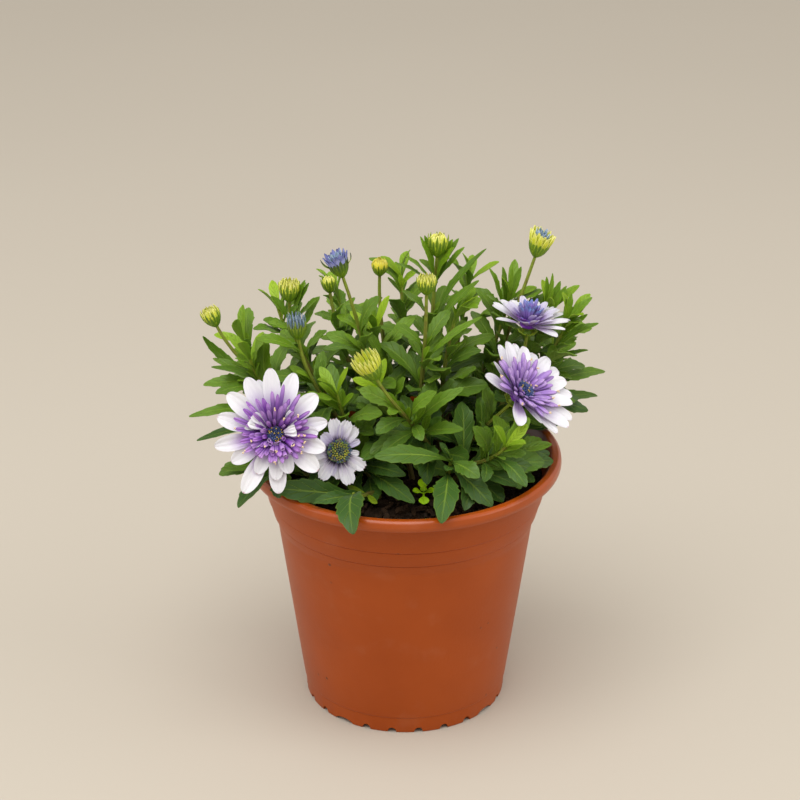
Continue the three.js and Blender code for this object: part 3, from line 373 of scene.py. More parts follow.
# %% Ray petal
def ray_finish():
    finish = Finish("ray_petal", Roughness=0.55, Specular_IOR_Level=0.25, Subsurface_Weight=0.15)
    finish.set(Subsurface_Radius=(0.6, 0.5, 0.6), Subsurface_Scale=0.003)
    along, across, under = finish.surface()
    lilac, own, purple = finish.tint()
    dark = purple.ramp(1.0, 1.1)
    purple = purple.call("FRACT")
    edge = across.call("ABSOLUTE")
    stretched = finish.node("ShaderNodeCombineXYZ", None, {0: along * 1.2, 1: across * 9.0, 2: own * 40.0})
    lines = finish.noise(1.6, 2, vector=stretched)
    colour = finish.mix(lilac * along.ramp(1.5, 0.4), (0.8, 0.785, 0.81), (0.3, 0.19, 0.6))
    colour = finish.mix(lines.ramp(0.42, 0.72) * (0.14 + dark * 0.35), colour, (0.5, 0.46, 0.62))
    colour = finish.mix(along.ramp(0.75, 0.35) * purple * 0.3, colour, (0.5, 0.36, 0.68))
    shaded = under * (0.35 + purple * 0.5) * along.ramp(1.1, 0.2)
    base = (along + lines * 0.24 + edge * 0.12 + own * 0.12).ramp(0.97, 0.52) * purple
    colour = finish.mix(base * 0.92, colour, (0.3, 0.09, 0.5))
    colour = finish.mix(shaded, colour, (0.2, 0.09, 0.28))
    foot = (along + lines * 0.3).ramp(0.62, 0.4) * dark
    colour = finish.mix(foot, colour, (0.035, 0.02, 0.07))
    tip = along.ramp(0.97, 0.995) * edge.ramp(0.9, 0.2)
    colour = finish.mix(tip * 0.75 * own, colour, (0.5, 0.1, 0.16))
    finish.set(Base_Color=colour)
    finish.bump(lines + (across * 9.4).call("COSINE") * 0.5, 0.00016)
    return finish.material


RAY = ray_finish()
print("ray petals ready")

# %% [markdown]
# The quilled florets are violet, darkest at their foot, with paler tips. The young ones of the small flower
# are blue-green with yellow-green tips.

# %% Floret
def floret_finish(name, foot, body, tip):
    finish = Finish(name, Roughness=0.5, Specular_IOR_Level=0.35, Subsurface_Weight=0.1)
    finish.set(Subsurface_Radius=(0.5, 0.3, 0.7), Subsurface_Scale=0.002)
    along, around, _ = finish.surface()
    age, own, pale = finish.tint()
    colour = finish.mix(along.ramp(0.05, 0.5), foot, body)
    colour = finish.mix(along.ramp(0.6, 0.98) * (0.45 + own * 0.5), colour, tip)
    colour = finish.mix(pale, colour, (0.84, 0.77, 0.82))
    colour = finish.mix(along.ramp(0.94, 0.99) * age * 0.8, colour, (0.7, 0.58, 0.76))
    finish.set(Base_Color=colour)
    finish.bump((around * 12.6).call("SINE"), 0.0002)
    return finish.material


VIOLET = floret_finish("violet_floret", (0.035, 0.01, 0.09), (0.17, 0.036, 0.35), (0.5, 0.23, 0.66))
LILAC = floret_finish("lilac_floret", (0.08, 0.03, 0.17), (0.3, 0.15, 0.52), (0.56, 0.36, 0.74))
BLUE = floret_finish("blue_floret", (0.12, 0.05, 0.3), (0.3, 0.19, 0.6), (0.16, 0.32, 0.72))
YOUNG = floret_finish("young_floret", (0.05, 0.09, 0.1), (0.12, 0.22, 0.1), (0.5, 0.55, 0.06))
print("florets ready")

# %% [markdown]
# The middle of a flower is a dome of closed florets, dark blue, with yellow tips on some of them.

# %% Disc and pollen
def disc_finish():
    finish = Finish("disc_floret", Roughness=0.6, Specular_IOR_Level=0.2)
    along, _, _ = finish.surface()
    blue, green, yellow = finish.tint()
    colour = finish.mix(blue, (0.012, 0.014, 0.04), (0.08, 0.11, 0.34))
    colour = finish.mix(green, colour, (0.24, 0.36, 0.05))
    colour = finish.mix(yellow * along.ramp(0.3, 0.8), colour, (0.62, 0.42, 0.05))
    finish.set(Base_Color=colour)
    finish.bump(finish.noise(1500, 2), 0.0002)
    return finish.material


def pollen_finish():
    finish = Finish("pollen", Roughness=0.8)
    grain = finish.noise(1800, 3)
    finish.set(Base_Color=finish.mix(grain, (0.75, 0.45, 0.15), (0.9, 0.8, 0.6)))
    finish.bump(grain, 0.0003)
    return finish.material


DISC = disc_finish()
POLLEN = pollen_finish()
print("disc and pollen ready")

# %% [markdown]
# Every repeated shape is modelled once, flat and at unit size, and read into a Blank: its points as a length,
# a width and a height, its faces and its blade coordinates. Copies of a blank are then bent into place.

# %% Blanks
class Blank:
    """A shape modelled once: `along` runs from 0 to 1, `across` and `height` are shares of its half width."""

    def __init__(self, piece):
        mesh = piece.data
        points = np.array([vertex.co for vertex in mesh.vertices])
        self.along, self.across, self.height = points.T
        self.faces = [list(face.vertices) for face in mesh.polygons]
        loops = mesh.uv_layers.active.data
        self.coordinates = np.array([loops[i].uv for face in mesh.polygons for i in face.loop_indices])
        bpy.data.objects.remove(piece)


def deselect():
    bpy.ops.object.select_all(action="DESELECT")


def pick(piece):
    """Makes a piece the only selected one, and the active one."""
    deselect()
    piece.select_set(True)
    bpy.context.view_layer.objects.active = piece


def flat_blade(outline, columns, relief, thickness):
    """A grid cut to an outline of [length, half width] stations, with relief, made solid but no wider."""
    deselect()
    rows = len(outline) - 1
    bpy.ops.mesh.primitive_grid_add(x_subdivisions=rows, y_subdivisions=columns, size=2)
    piece = bpy.context.object
    mesh = piece.data
    surface = []
    for vertex in mesh.vertices:
        length, share = outline[round((vertex.co.x + 1) / 2 * rows)]
        across = vertex.co.y
        surface.append((length, across))
        vertex.co = (length, across * share, relief(length, across) * share)
    for loop, uv in zip(mesh.loops, mesh.uv_layers.active.data):
        uv.uv = surface[loop.vertex_index]
    flat = [vertex.co.xy.copy() for vertex in mesh.vertices]
    bpy.ops.object.modifier_add(type="SOLIDIFY")
    piece.modifiers[-1].thickness = thickness
    piece.modifiers[-1].offset = 0
    bpy.ops.object.modifier_apply(modifier=piece.modifiers[-1].name)
    for vertex in mesh.vertices:
        vertex.co.xy = flat[vertex.index % len(flat)]
    for face in mesh.polygons:
        if face.normal.z < -0.4:
            for i in face.loop_indices:
                mesh.uv_layers.active.data[i].uv.x += UNDERSIDE
    return Blank(piece)


def round_blank(profile, sides, flatness=1.0):
    """A round closed shape along its length, from a profile of [length, radius] stations."""
    deselect()
    bpy.ops.mesh.primitive_uv_sphere_add(segments=sides, ring_count=len(profile) - 1)
    piece = bpy.context.object
    mesh = piece.data
    surface = []
    for vertex in mesh.vertices:
        ring = round((1 - math.acos(max(-1, min(1, vertex.co.z))) / math.pi) * (len(profile) - 1))
        length, radius = profile[ring]
        turn = math.atan2(vertex.co.y, vertex.co.x)
        surface.append((length, turn / math.pi))
        vertex.co = (length, radius * math.cos(turn), radius * math.sin(turn) * flatness)
    for loop, uv in zip(mesh.loops, mesh.uv_layers.active.data):
        uv.uv = surface[loop.vertex_index]
    return Blank(piece)


print("blank makers ready")

# %% [markdown]
# The leaf's outline is the plant's signature: narrow like a stalk at first, widest past the middle, with
# forward-pointing teeth. Its stations sit closer where a tooth drops back.

# %% Leaf blanks
OUTLINES = {
    "toothed": [(0, 0.1), (0.08, 0.13), (0.17, 0.2), (0.25, 0.31), (0.32, 0.47), (0.4, 0.7), (0.44, 0.86),
                (0.465, 0.76), (0.52, 0.92), (0.57, 1.04), (0.595, 0.9), (0.66, 0.94), (0.71, 0.97),
                (0.735, 0.81), (0.8, 0.78), (0.84, 0.73), (0.865, 0.58), (0.92, 0.45), (0.97, 0.28),
                (1, 0.08)],
    "cut": [(0, 0.1), (0.12, 0.16), (0.24, 0.3), (0.36, 0.52), (0.46, 0.74), (0.53, 0.92), (0.56, 0.8),
            (0.64, 0.93), (0.71, 1.03), (0.735, 0.87), (0.81, 0.84), (0.86, 0.78), (0.885, 0.61),
            (0.95, 0.42), (1, 0.1)],
    "young": [(0, 0.16), (0.2, 0.42), (0.4, 0.74), (0.6, 0.98), (0.76, 0.98), (0.9, 0.66), (1, 0.14)],
}
LEAF_THICKNESS = 0.1  # for the half width
RIPPLES = (0, 0.37, 0.7)  # where the waves of each kind's three variants start


def leaf_relief(wave, depth):
    """Waved towards the edge and let in along the midrib."""

    def relief(length, across):
        ripple = depth * across * across * math.sin(2 * math.pi * (wave + 2.3 * length))
        return ripple - 0.07 * (1 - abs(across)) * (1 - length)

    return relief


LEAVES = {
    kind: [flat_blade(OUTLINES[kind], columns, leaf_relief(wave, depth), LEAF_THICKNESS) for wave in RIPPLES]
    for kind, columns, depth in (("toothed", 4, 0.14), ("cut", 4, 0.16), ("young", 2, 0.05))
}
print("leaf blanks:", {kind: len(made[0].faces) for kind, made in LEAVES.items()}, "faces each")

# %% [markdown]
# A shoot leaves the soil leaning out and ends upright. Its centre line is one cubic curve, as in the solids.

# %% Shoot lines
SOIL_LEVEL = 133
STEM_DEPTH = 8
STEM_RADIUS = 1.7
STALK_RADIUS = 0.85
LEAN = 0.35
PULL = 0.36


class Line:
    """The centre line of a shoot, in millimetres."""

    def __init__(self, base, tip, axis):
        self.foot = Vector((*base, SOIL_LEVEL))
        self.end = Vector(tip)
        self.direction = Vector(axis).normalized()
        reach = (self.end - self.foot).length
        slant = (self.end - self.foot).xy * (LEAN / reach)
        self.start = Vector((*slant, 1)).normalized()
        self.low = self.foot + self.start * PULL * reach
        self.high = self.end - self.direction * PULL * reach

    def point(self, t):
        u = 1 - t
        return self.foot * u**3 + self.low * 3 * u * u * t + self.high * 3 * u * t * t + self.end * t**3

    def along(self, t):
        u = 1 - t
        legs = (self.low - self.foot, self.high - self.low, self.end - self.high)
        return (legs[0] * u * u + legs[1] * 2 * u * t + legs[2] * t * t).normalized()


def mix(first, second, share):
    return first + (second - first) * share


print("shoot lines ready")

# %% [markdown]
# Ten buds, four open flowers and twenty leafy shoots share the pot. Their places are in millimetres, in the
# plant's own frame, and each one's line runs from its foot in the soil to its tip.

# %% Buds, flowers and shoots
BUD_KEYS = ("tip", "axis", "base", "radius", "look", "dark")
BUDS = [dict(zip(BUD_KEYS, values)) for values in (
    ((-100, 0, 218), (-0.45, 0, 1), (-38, 0), 5.2, "lime"),
    ((-62, 15, 226), (0.02, 0, 1), (-30, 13), 5.8, "lime"),
    ((-56, -15, 217), (-0.1, 0, 1), (-24, -3), 5.2, "thin", 0.5),
    ((-33, 5, 244), (-0.32, 0, 1), (-13, 5), 5.6, "wide", 0.9),
    ((-41, 40, 221), (-0.12, 0, 1), (-18, 24), 4.2, "egg"),
    ((-14, 45, 229), (0.04, 0, 1), (-4, 20), 4.6, "closed"),
    ((17, 30, 246), (0.08, 0, 1), (12, 16), 5.6, "egg"),
    ((11, -5, 238), (0, 0, 1), (6, 3), 5.2, "lime"),
    ((-15, -44, 207), (-0.5, -0.15, 1), (18, -9), 6.8, "crown"),
    ((70, 35, 244), (0.3, 0, 1), (40, 20), 6, "inner"),
)]
HUB_DEPTH = 2.4
BLOOM_STALK = 4

# The rays of each flower: azimuth, length, width and rise in degrees.
RAYS_A = [(1, 22.6, 7.4, 14), (12, 27.5, 8.2, 5), (42, 29.8, 10, 8), (71, 33, 9, 5), (93, 34.3, 9.2, 9),
          (106, 29.3, 6.5, 3), (115.5, 32.7, 9.2, 6), (138, 32.4, 9.6, 8), (161.5, 31.2, 9.2, 5),
          (189.5, 32, 8.6, 8), (211, 26.7, 8.8, 5), (240, 34.3, 9.5, 3), (243.5, 23, 7.6, 13),
          (270, 24.2, 7.6, 13), (271.6, 30.5, 9, 3), (289, 22, 8, 14), (318, 29, 10, 7), (342, 27, 9, 9)]
RAYS_B = [(14, 33, 8.4, 21), (28, 32, 8, 16), (43, 31, 8, 22), (54, 31, 7.4, 17), (65, 32, 7.4, 22),
          (76, 30, 6, 17), (113, 26, 3.4, 30), (138, 27, 8, 20), (196, 17, 4.6, 62), (211, 29, 9, 20),
          (236, 21, 4, 50), (250, 23, 3.4, 24), (266, 30, 7.5, 16), (280, 32, 8.6, 20), (300, 32, 8.8, 15),
          (316, 31, 8.6, 22), (330, 33, 8.6, 16), (344, 32, 8.6, 22), (359, 33, 8.6, 17)]
RAYS_C = [(0, 23.5, 5, 18), (14, 22, 4.6, 24), (32, 21.5, 4.8, 19), (42, 21, 3, 25), (55, 20.5, 5, 19),
          (72, 20, 5, 25), (90, 20, 5, 20), (98, 20, 4, 26), (108, 22, 5, 21), (118, 21.5, 5.5, 26),
          (126, 22, 4.6, 20), (136, 23.4, 5, 26), (150, 23.6, 5, 21), (160, 23.2, 5, 25), (190, 19, 4, 17),
          (310, 22.5, 6.5, 9), (320, 25, 5, 18), (340, 23.6, 4.6, 23)]
RAYS_D = [(20, 13.5, 3.4, 14), (46, 16.5, 6, 10), (66, 17.5, 6.2, 14), (92, 17.6, 6.4, 8), (78, 15, 3, 18),
          (127, 13, 5.6, 16), (158, 14.5, 5.6, 9), (182, 15, 5.4, 13), (207, 14, 5.6, 8),
          (231, 18, 6.4, 12), (249, 14, 3, 16), (264, 15, 4.6, 9), (283, 19, 7, 12), (304, 14.5, 4, 16),
          (322, 17, 6.4, 10), (348, 12, 3, 18)]

BLOOM_KEYS = ("centre", "axis", "base", "hub", "rays")
BLOOMS = {letter: dict(zip(BLOOM_KEYS, values)) for letter, *values in (
    ("a", (-66.6, -60, 183), (0.06, -0.9, 0.43), (-32, -22), 6, RAYS_A),
    ("b", (59.6, -22, 187.4), (0.52, -0.37, 0.77), (28, -3), 6, RAYS_B),
    ("c", (66, 15, 213), (0.08, -0.06, 1), (42, 8), 5.2, RAYS_C),
    ("d", (-35.4, -43, 165), (0.22, -0.86, 0.46), (-17, -17), 5, RAYS_D),
)}

# Shoots that end in leaves: tip, direction at the tip, and foot.
LEAFY = [
    ((57, 40, 218), (0.2, 0, 1), (29, 24)), ((78, 33, 213), (0.25, 0, 1), (50, 22)),
    ((88, 20, 214), (0.35, -0.05, 1), (54, 10)), ((52, -48, 170), (0.6, -0.35, 1), (26, -18)),
    ((-36, -26, 190), (-0.2, -0.1, 1), (-24, -12)), ((24, -42, 160), (0.1, -0.3, 1), (20, -32)),
    ((-27, -56, 147), (-0.3, -0.6, 1), (-14, -34)), ((56, -30, 158), (0.5, -0.4, 1), (44, -16)),
    ((-72, -38, 158), (-0.6, -0.3, 1), (-44, -24)), ((-82, -12, 204), (-0.3, 0, 1), (-44, -10)),
    ((82, 42, 182), (0.5, 0.1, 1), (58, 28)), ((-70, 48, 208), (-0.3, 0.2, 1), (-34, 28)),
    ((-38, 66, 212), (-0.2, 0.4, 1), (-18, 40)), ((-2, 64, 222), (0, 0.3, 1), (2, 38)),
    ((36, 62, 220), (0.2, 0.3, 1), (22, 38)), ((74, 62, 192), (0.4, 0.3, 1), (44, 36)),
    ((-88, 30, 196), (-0.5, 0.1, 1), (-46, 12)), ((-14, -18, 190), (-0.2, -0.2, 1), (4, -16)),
    ((28, 12, 222), (0.3, 0, 1), (18, 4)), ((-16, 16, 208), (-0.2, 0, 1), (-2, 12)),
]

SHOOTS = {}
for number, bud in enumerate(BUDS, 1):
    SHOOTS[f"bud_{number:02d}"] = Line(bud["base"], bud["tip"], bud["axis"])
for letter, bloom in BLOOMS.items():
    axis = Vector(bloom["axis"]).normalized()
    tip = Vector(bloom["centre"]) - axis * (HUB_DEPTH + BLOOM_STALK)
    SHOOTS[f"bloom_{letter}"] = Line(bloom["base"], tip, axis)
for number, (tip, axis, base) in enumerate(LEAFY, 1):
    SHOOTS[f"leafy_{number:02d}"] = Line(base, tip, axis)
print("shoots:", len(SHOOTS))

# %% [markdown]
# The solids were given two sorts of leaves. Some were chosen one by one, where they shape the plant's
# outline. The rest sit on their stem in a golden-angle spiral, with a tuft of young ones at the tip.

# %% Leaf places
# Of each shoot: where the leaf leaves the stem, the x, y and z of its tip, its width and sometimes its arch.
CHOSEN_LEAVES = {
    "leafy_06": [(0.6, 18, -90, 147.5, 14), (0.8, 45, -57, 140, 12.5), (0.92, 38, -58, 157, 11),
                 (0.95, -16, -60, 170, 12)],
    "leafy_07": [(0.75, -26.4, -93, 142.9, 15.5, 0.2), (0.6, -70, -61, 142, 13), (0.85, -47, -70, 149, 7)],
    "leafy_04": [(0.3, 58.7, -47, 146.8, 9), (0.7, 68, -37, 151.2, 8.5)],
    "leafy_08": [(0.7, 73.8, -28, 151, 9), (0.5, 77.5, -12, 149, 9)],
    "leafy_09": [(0.7, -86, -70, 146, 10.5), (0.8, -96, -50, 158, 6.5)],
    "leafy_10": [(0.55, -113.5, -30, 179, 7.5), (0.4, -110, -30, 165, 6.5), (0.8, -107, -12, 189, 8),
                 (0.72, -74, -8, 217, 11)],
    "leafy_11": [(0.6, 112.5, 58, 166, 8.5), (0.4, 108, 50, 154.5, 8), (0.85, 100, 30, 191, 5)],
    "leafy_03": [(0.8, 104, 18, 212, 5), (0.95, 100, 18, 227, 5)],
    "bud_09": [(0.45, -13, -50, 166, 8.5), (0.52, 30, -38, 199, 8), (0.4, 30, -44, 178, 8),
               (0.6, -20, -22, 192, 6), (0.22, -16.7, -47, 163.8, 9)],
    "bud_07": [(0.62, 43, 20, 254, 5), (0.55, 39, 12, 239, 8), (0.16, 22, 46, 152, 11)],
    "bud_08": [(0.6, 40, -14, 229, 5)],
    "leafy_14": [(0.45, 4, 92.5, 152, 10), (0.25, -14, 60, 152, 11)],
    "leafy_15": [(0.25, 40, 62, 150, 11)],
    "leafy_13": [(0.25, -36, 66, 152, 11)],
    "bud_06": [(0.16, -10, 48, 150, 11)],
    "bloom_d": [(0.22, 4.7, -60, 143.5, 11), (0.32, 0, -52, 155.5, 9), (0.4, -26, -66, 151, 12),
                (0.2, -40, -24, 150, 10)],
    "leafy_18": [(0.2, -20, -46, 153, 9), (0.3, -34, -8, 158, 9)],
    "bud_01": [(0.6, -107.5, 0, 212, 5.5, -0.2), (0.55, -103, 5, 197, 6), (0.5, -101.7, -20, 203, 6)],
    "bud_03": [(0.92, -77.8, -25, 221, 8)],
    "bud_02": [(0.86, -74, 10, 224.5, 5, -0.15), (0.92, -72, 20, 228, 6.5, -0.1), (0.75, -46, 20, 226, 5)],
    "bud_05": [(0.72, -32.8, 22, 222, 8.5), (0.66, -32, 15, 212, 6)],
    "leafy_20": [(0.6, -26, 5, 213, 9)],
}
BARE = ("leafy_06", "leafy_07")  # shoots that carry only chosen leaves
# Of each kind of shoot: where its run of leaves starts and ends, their count, the lowest and highest length.
LEAF_RUN = {
    "bud": (0.26, 0.68, 5, 37, 26),
    "bloom": (0.24, 0.62, 5, 35, 26),
    "leafy": (0.28, 0.9, 6, 37, 27),
}
LEAF_SLENDERNESS = 0.33
CHOSEN_PULL = 1.0
GOLDEN_ANGLE = 137.5
ROOT_SUNK = 0.5
TUFT_SHARE = 0.985
TUFT_COUNT = 3
TUFT_LENGTH = 20
TUFT_WIDTH = 5.5
TUFT_SPREAD = 28
# What a leaf may do to clear its neighbours: turn, lift, and the part of its length that is left.
TRIES = [(0, 0, 1), (16, 0, 1), (-16, 0, 1), (0, 14, 1), (0, -14, 1), (34, 8, 0.9), (-34, 8, 0.9),
         (0, 22, 0.75), (60, 4, 0.8), (-60, 4, 0.8), (95, 10, 0.7)]
SAME_CORNER = 0.05  # how near a leaf's tip has to be to a corner of the solid
LIGHT = Vector((0, -0.75, 0.65))
LIGHT_PULL = (0.25, 0.9, 0.5)  # how far each leaf in turn has twisted to the light
RUN_SEED = (7919, 13)
TUFT_SEED = (104729, 5)
WORD = 0xFFFFFFFF
print("chosen leaves:", sum(map(len, CHOSEN_LEAVES.values())))

# %% [markdown]
# Each sort of leaf yields its plans. The numbers come from the generator that the solids use, in the same
# order, so every leaf has the same place and size as its solid.

# %% Plan the leaves
def seeded(seed):
    """The solids' generator of numbers from 0 to 1."""
    state = seed & WORD

    def draw():
        nonlocal state
        state = (state + 0x6D2B79F5) & WORD
        t = ((state ^ (state >> 15)) * (state | 1)) & WORD
        t ^= (t + (((t ^ (t >> 7)) * (t | 61)) & WORD)) & WORD
        return ((t ^ (t >> 14)) & WORD) / 2**32

    return draw


def turned(vector, axis, degrees):
    return Matrix.Rotation(math.radians(degrees), 3, axis) @ vector


def outward(along, azimuth):
    """The direction square to a stem at an azimuth, counted from world +Y."""
    out = (Vector((0, 1, 0)) - along * along.y).normalized()
    return turned(out, along, azimuth)


def reach_at(along, azimuth, degrees, length):
    angle = math.radians(degrees)
    return (along * math.cos(angle) + outward(along, azimuth) * math.sin(angle)) * length


def plan(share, reach, width, kind, pull, arch, fold, sway=0, **more):
    """A leaf to be placed: where it leaves its stem, its reach from there, its shape and how it is bent."""
    return {"share": share, "reach": reach, "width": width, "kind": kind, "pull": pull, "arch": arch,
            "fold": fold, "sway": sway, **more}


def chosen_leaves(name, line):
    for share, x, y, z, width, *arch in CHOSEN_LEAVES.get(name, ()):
        reach = Vector((x, y, z)) - line.point(share)
        yield plan(share, reach, width, "toothed", CHOSEN_PULL, arch[0] if arch else 0.1, 0.14)


def run_leaves(name, line, number):
    draw = seeded(number * RUN_SEED[0] + RUN_SEED[1])
    first, last, count, lower, upper = LEAF_RUN[name.split("_")[0]]
    azimuth = 360 * draw()
    for i in range(count):
        rank = i / (count - 1)
        share = mix(first, last, rank)
        azimuth += GOLDEN_ANGLE + 20 * (draw() - 0.5)
        degrees = mix(74, 46, rank) + 12 * (draw() - 0.5)
        length = mix(lower, upper, rank) * mix(0.88, 1.12, draw())
        reach = reach_at(line.along(share), azimuth, degrees, length)
        width = length * LEAF_SLENDERNESS * mix(0.9, 1.12, draw())
        arch = 0.1 + 0.05 * draw()
        yield plan(share, reach, width, "cut", LIGHT_PULL[i % 3], arch, 0.12, 0.16 * (draw() - 0.5))


def tuft_leaves(line, number):
    draw = seeded(number * TUFT_SEED[0] + TUFT_SEED[1])
    start = 360 * draw()
    for i in range(TUFT_COUNT):
        azimuth = start + 360 * i / TUFT_COUNT + 14 * (draw() - 0.5)
        degrees = TUFT_SPREAD + 16 * (i % 2) + 8 * draw()
        length = TUFT_LENGTH * mix(0.8, 1.15, draw())
        reach = reach_at(line.along(1), azimuth, degrees, length)
        yield plan(TUFT_SHARE, reach, TUFT_WIDTH, "young", LIGHT_PULL[i % 3], 0.06, 0.2)


print("leaf plans ready")

# %% [markdown]
# A leaf that would have touched something was turned, lifted or shortened in the solids. Each is tried the
# same ways here, until its tip is a corner of the solid.

# %% Find the leaves
def facing_light(along, pull):
    """Which way a leaf's upper face looks: along its stem, twisted to the light."""
    return along + LIGHT * pull


def tries(reach, along, count=None):
    """A leaf's reach in each of its tries, with the part of its length that is left."""
    for turn, lift, part in TRIES[:count]:
        moved = turned(reach, along, turn)
        yield turned(moved, moved.cross(along).normalized(), lift) * part, part


def as_built(line, leaf, corners):
    """The leaf's root, tip and width as the solid has it, or None where no try left it a place."""
    along = line.along(leaf["share"])
    base = line.point(leaf["share"])
    for reach, part in tries(leaf["reach"], along):
        if corners.find((base + reach) * MM)[2] < SAME_CORNER * MM:
            return {**leaf, "root": base - reach.normalized() * ROOT_SUNK, "tip": base + reach,
                    "up": facing_light(along, leaf["pull"]), "width": leaf["width"] * math.sqrt(part)}
    return None


def corners_of(node):
    """The corners of a CAD node, ready to be searched."""
    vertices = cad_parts[node].data.vertices
    tree = KDTree(len(vertices))
    for i, vertex in enumerate(vertices):
        tree.insert(vertex.co, i)
    tree.balance()
    return tree


grown = {}
for number, (name, line) in enumerate(SHOOTS.items()):
    corners = corners_of(name)
    wanted = [*chosen_leaves(name, line)]
    if name not in BARE:
        wanted += run_leaves(name, line, number)
    if name.startswith("leafy") and name not in BARE:
        wanted += tuft_leaves(line, number)
    grown[name] = [found for found in (as_built(line, leaf, corners) for leaf in wanted) if found]
print("leaves found:", sum(map(len, grown.values())))

# %% [markdown]
# A blade is bent along a curve from its root to its tip, with its upper face to one side. Growth gathers the
# bent copies that make one piece, with each copy's finish and tint, and builds their mesh at the end.

# %% Bend and gather
def bend(blank, root, tip, up, width, arch=0.12, fold=0.12, sway=0.0, curl=0.0):
    """The blank's points along a curve; arch and sway are shares of the length, and fold is its V."""
    span = tip - root
    length = span.length
    forward = span / length
    lift = (up - forward * up.dot(forward)).normalized()
    knee = root + span * 0.5 + lift * (2 * arch * length) + forward.cross(lift) * (sway * length)
    root, knee, tip, lift = (np.array(v) for v in (root, knee, tip, lift))
    t = blank.along[:, None]
    centre = (1 - t) ** 2 * root + 2 * t * (1 - t) * knee + t * t * tip
    along = (1 - t) * (knee - root) + t * (tip - knee)
    along /= np.linalg.norm(along, axis=1)[:, None]
    side = np.cross(lift, along)
    side /= np.linalg.norm(side, axis=1)[:, None]
    normal = np.cross(along, side)
    half = width / 2
    rise = (blank.height + fold * abs(blank.across) + curl * blank.across**2)[:, None]
    return centre + side * blank.across[:, None] * half + normal * rise * half


class Growth:
    """One piece in the making: bent copies of blanks, each with a finish and a tint."""

    def __init__(self):
        self.points = []
        self.faces = []
        self.slots = []
        self.coordinates = []
        self.tints = []
        self.finishes = []
        self.count = 0

    def add(self, blank, points, finish, tint=(0.5, 0.5, 0.0)):
        if finish not in self.finishes:
            self.finishes.append(finish)
        self.faces += [[i + self.count for i in face] for face in blank.faces]
        self.slots += [self.finishes.index(finish)] * len(blank.faces)
        self.points.append(points)
        self.coordinates.append(blank.coordinates)
        self.tints.append(np.tile(tint, (len(points), 1)))
        self.count += len(points)

    def build(self, name, slot, *nodes):
        """Makes the piece, which rides on the plant and stands for the nodes."""
        mesh = bpy.data.meshes.new(name)
        mesh.from_pydata(np.concatenate(self.points) * MM, [], self.faces)
        mesh.polygons.foreach_set("material_index", self.slots)
        mesh.uv_layers.new(name="blade").data.foreach_set("uv", np.concatenate(self.coordinates).ravel())
        tint = mesh.attributes.new("tint", "FLOAT_VECTOR", "POINT")
        tint.data.foreach_set("vector", np.concatenate(self.tints).ravel())
        for finish in self.finishes:
            mesh.materials.append(finish)
        piece = bpy.data.objects.new(name, mesh)
        bpy.context.scene.collection.objects.link(piece)
        return settle(piece, slot, *nodes)


SMOOTH_ANGLE = math.radians(40)


def settle(piece, slot, *nodes):
    """Smooths a finished piece and ties it to the frame."""
    pick(piece)
    bpy.ops.object.shade_smooth_by_angle(angle=SMOOTH_ANGLE)
    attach(piece, "root")
    if nodes:
        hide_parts(*nodes)
    return piece


print("bending ready")

# %% [markdown]
# A stem is a disc extruded upwards ring by ring, then laid along the shoot's line and drawn thinner to its
# end.

# %% Stem blank
STEM_SIDES = 8
STEM_RINGS = 14


def extruded_blank(sides, rings):
    deselect()
    bpy.ops.mesh.primitive_circle_add(vertices=sides, radius=1, fill_type="NGON")
    piece = bpy.context.object
    bpy.ops.object.mode_set(mode="EDIT")
    for _ in range(rings):
        bpy.ops.mesh.extrude_region_move(TRANSFORM_OT_translate={"value": (0, 0, 1 / rings)})
    bpy.ops.mesh.select_all(action="SELECT")
    bpy.ops.mesh.normals_make_consistent(inside=False)
    bpy.ops.object.mode_set(mode="OBJECT")
    mesh = piece.data
    if not mesh.uv_layers:
        mesh.uv_layers.new(name="blade")
    for loop, uv in zip(mesh.loops, mesh.uv_layers.active.data):
        co = mesh.vertices[loop.vertex_index].co
        uv.uv = (co.z, math.atan2(co.y, co.x) / math.pi)
    for vertex in mesh.vertices:
        x, y, z = vertex.co
        vertex.co = (z, x, y)
    return Blank(piece)


STEM_BLANK = extruded_blank(STEM_SIDES, STEM_RINGS)


def stem_points(line):
    """The stem blank along a shoot's line, from below the soil to its end."""
    buried = STEM_DEPTH / ((line.end - line.foot).length + STEM_DEPTH)
    centres, sides, normals, radii = [], [], [], []
    for length in STEM_BLANK.along:
        t = (length - buried) / (1 - buried)
        below = line.start * (STEM_DEPTH * t * (1 - buried) / buried)
        centre = line.point(t) if t >= 0 else line.foot + below
        along = line.along(max(t, 0))
        side = along.cross(Vector((0, 1, 0))).normalized()
        centres.append(centre)
        sides.append(side)
        normals.append(along.cross(side))
        radii.append(mix(STEM_RADIUS, STALK_RADIUS, max(t, 0)))
    across = (STEM_BLANK.across * radii)[:, None]
    height = (STEM_BLANK.height * radii)[:, None]
    return np.array(centres) + np.array(sides) * across + np.array(normals) * height


print("stem blank:", len(STEM_BLANK.faces), "faces")

# %% [markdown]
# A bud sits in a cup of narrow bracts in two rings, the first one shorter. Each bract hugs the cup and ends
# in a point. The green foot of an open flower is a cup of the same kind.

# %% Bracts and closed petals
BRACT_BLANK = flat_blade(
    [(0, 0.5), (0.2, 0.8), (0.42, 1.0), (0.62, 0.86), (0.8, 0.5), (0.92, 0.24), (1, 0.04)],
    2, lambda length, across: -0.35 * across * across, 0.2)
CLOSED_PETAL = flat_blade(
    [(0, 0.5), (0.3, 0.85), (0.55, 1.0), (0.75, 0.9), (0.9, 0.6), (1, 0.15)],
    2, lambda length, across: -0.3 * across * across, 0.25)
KNOB = round_blank([(0, 0.02), (0.2, 0.75), (0.5, 1.0), (0.8, 0.75), (1, 0.02)], 8)


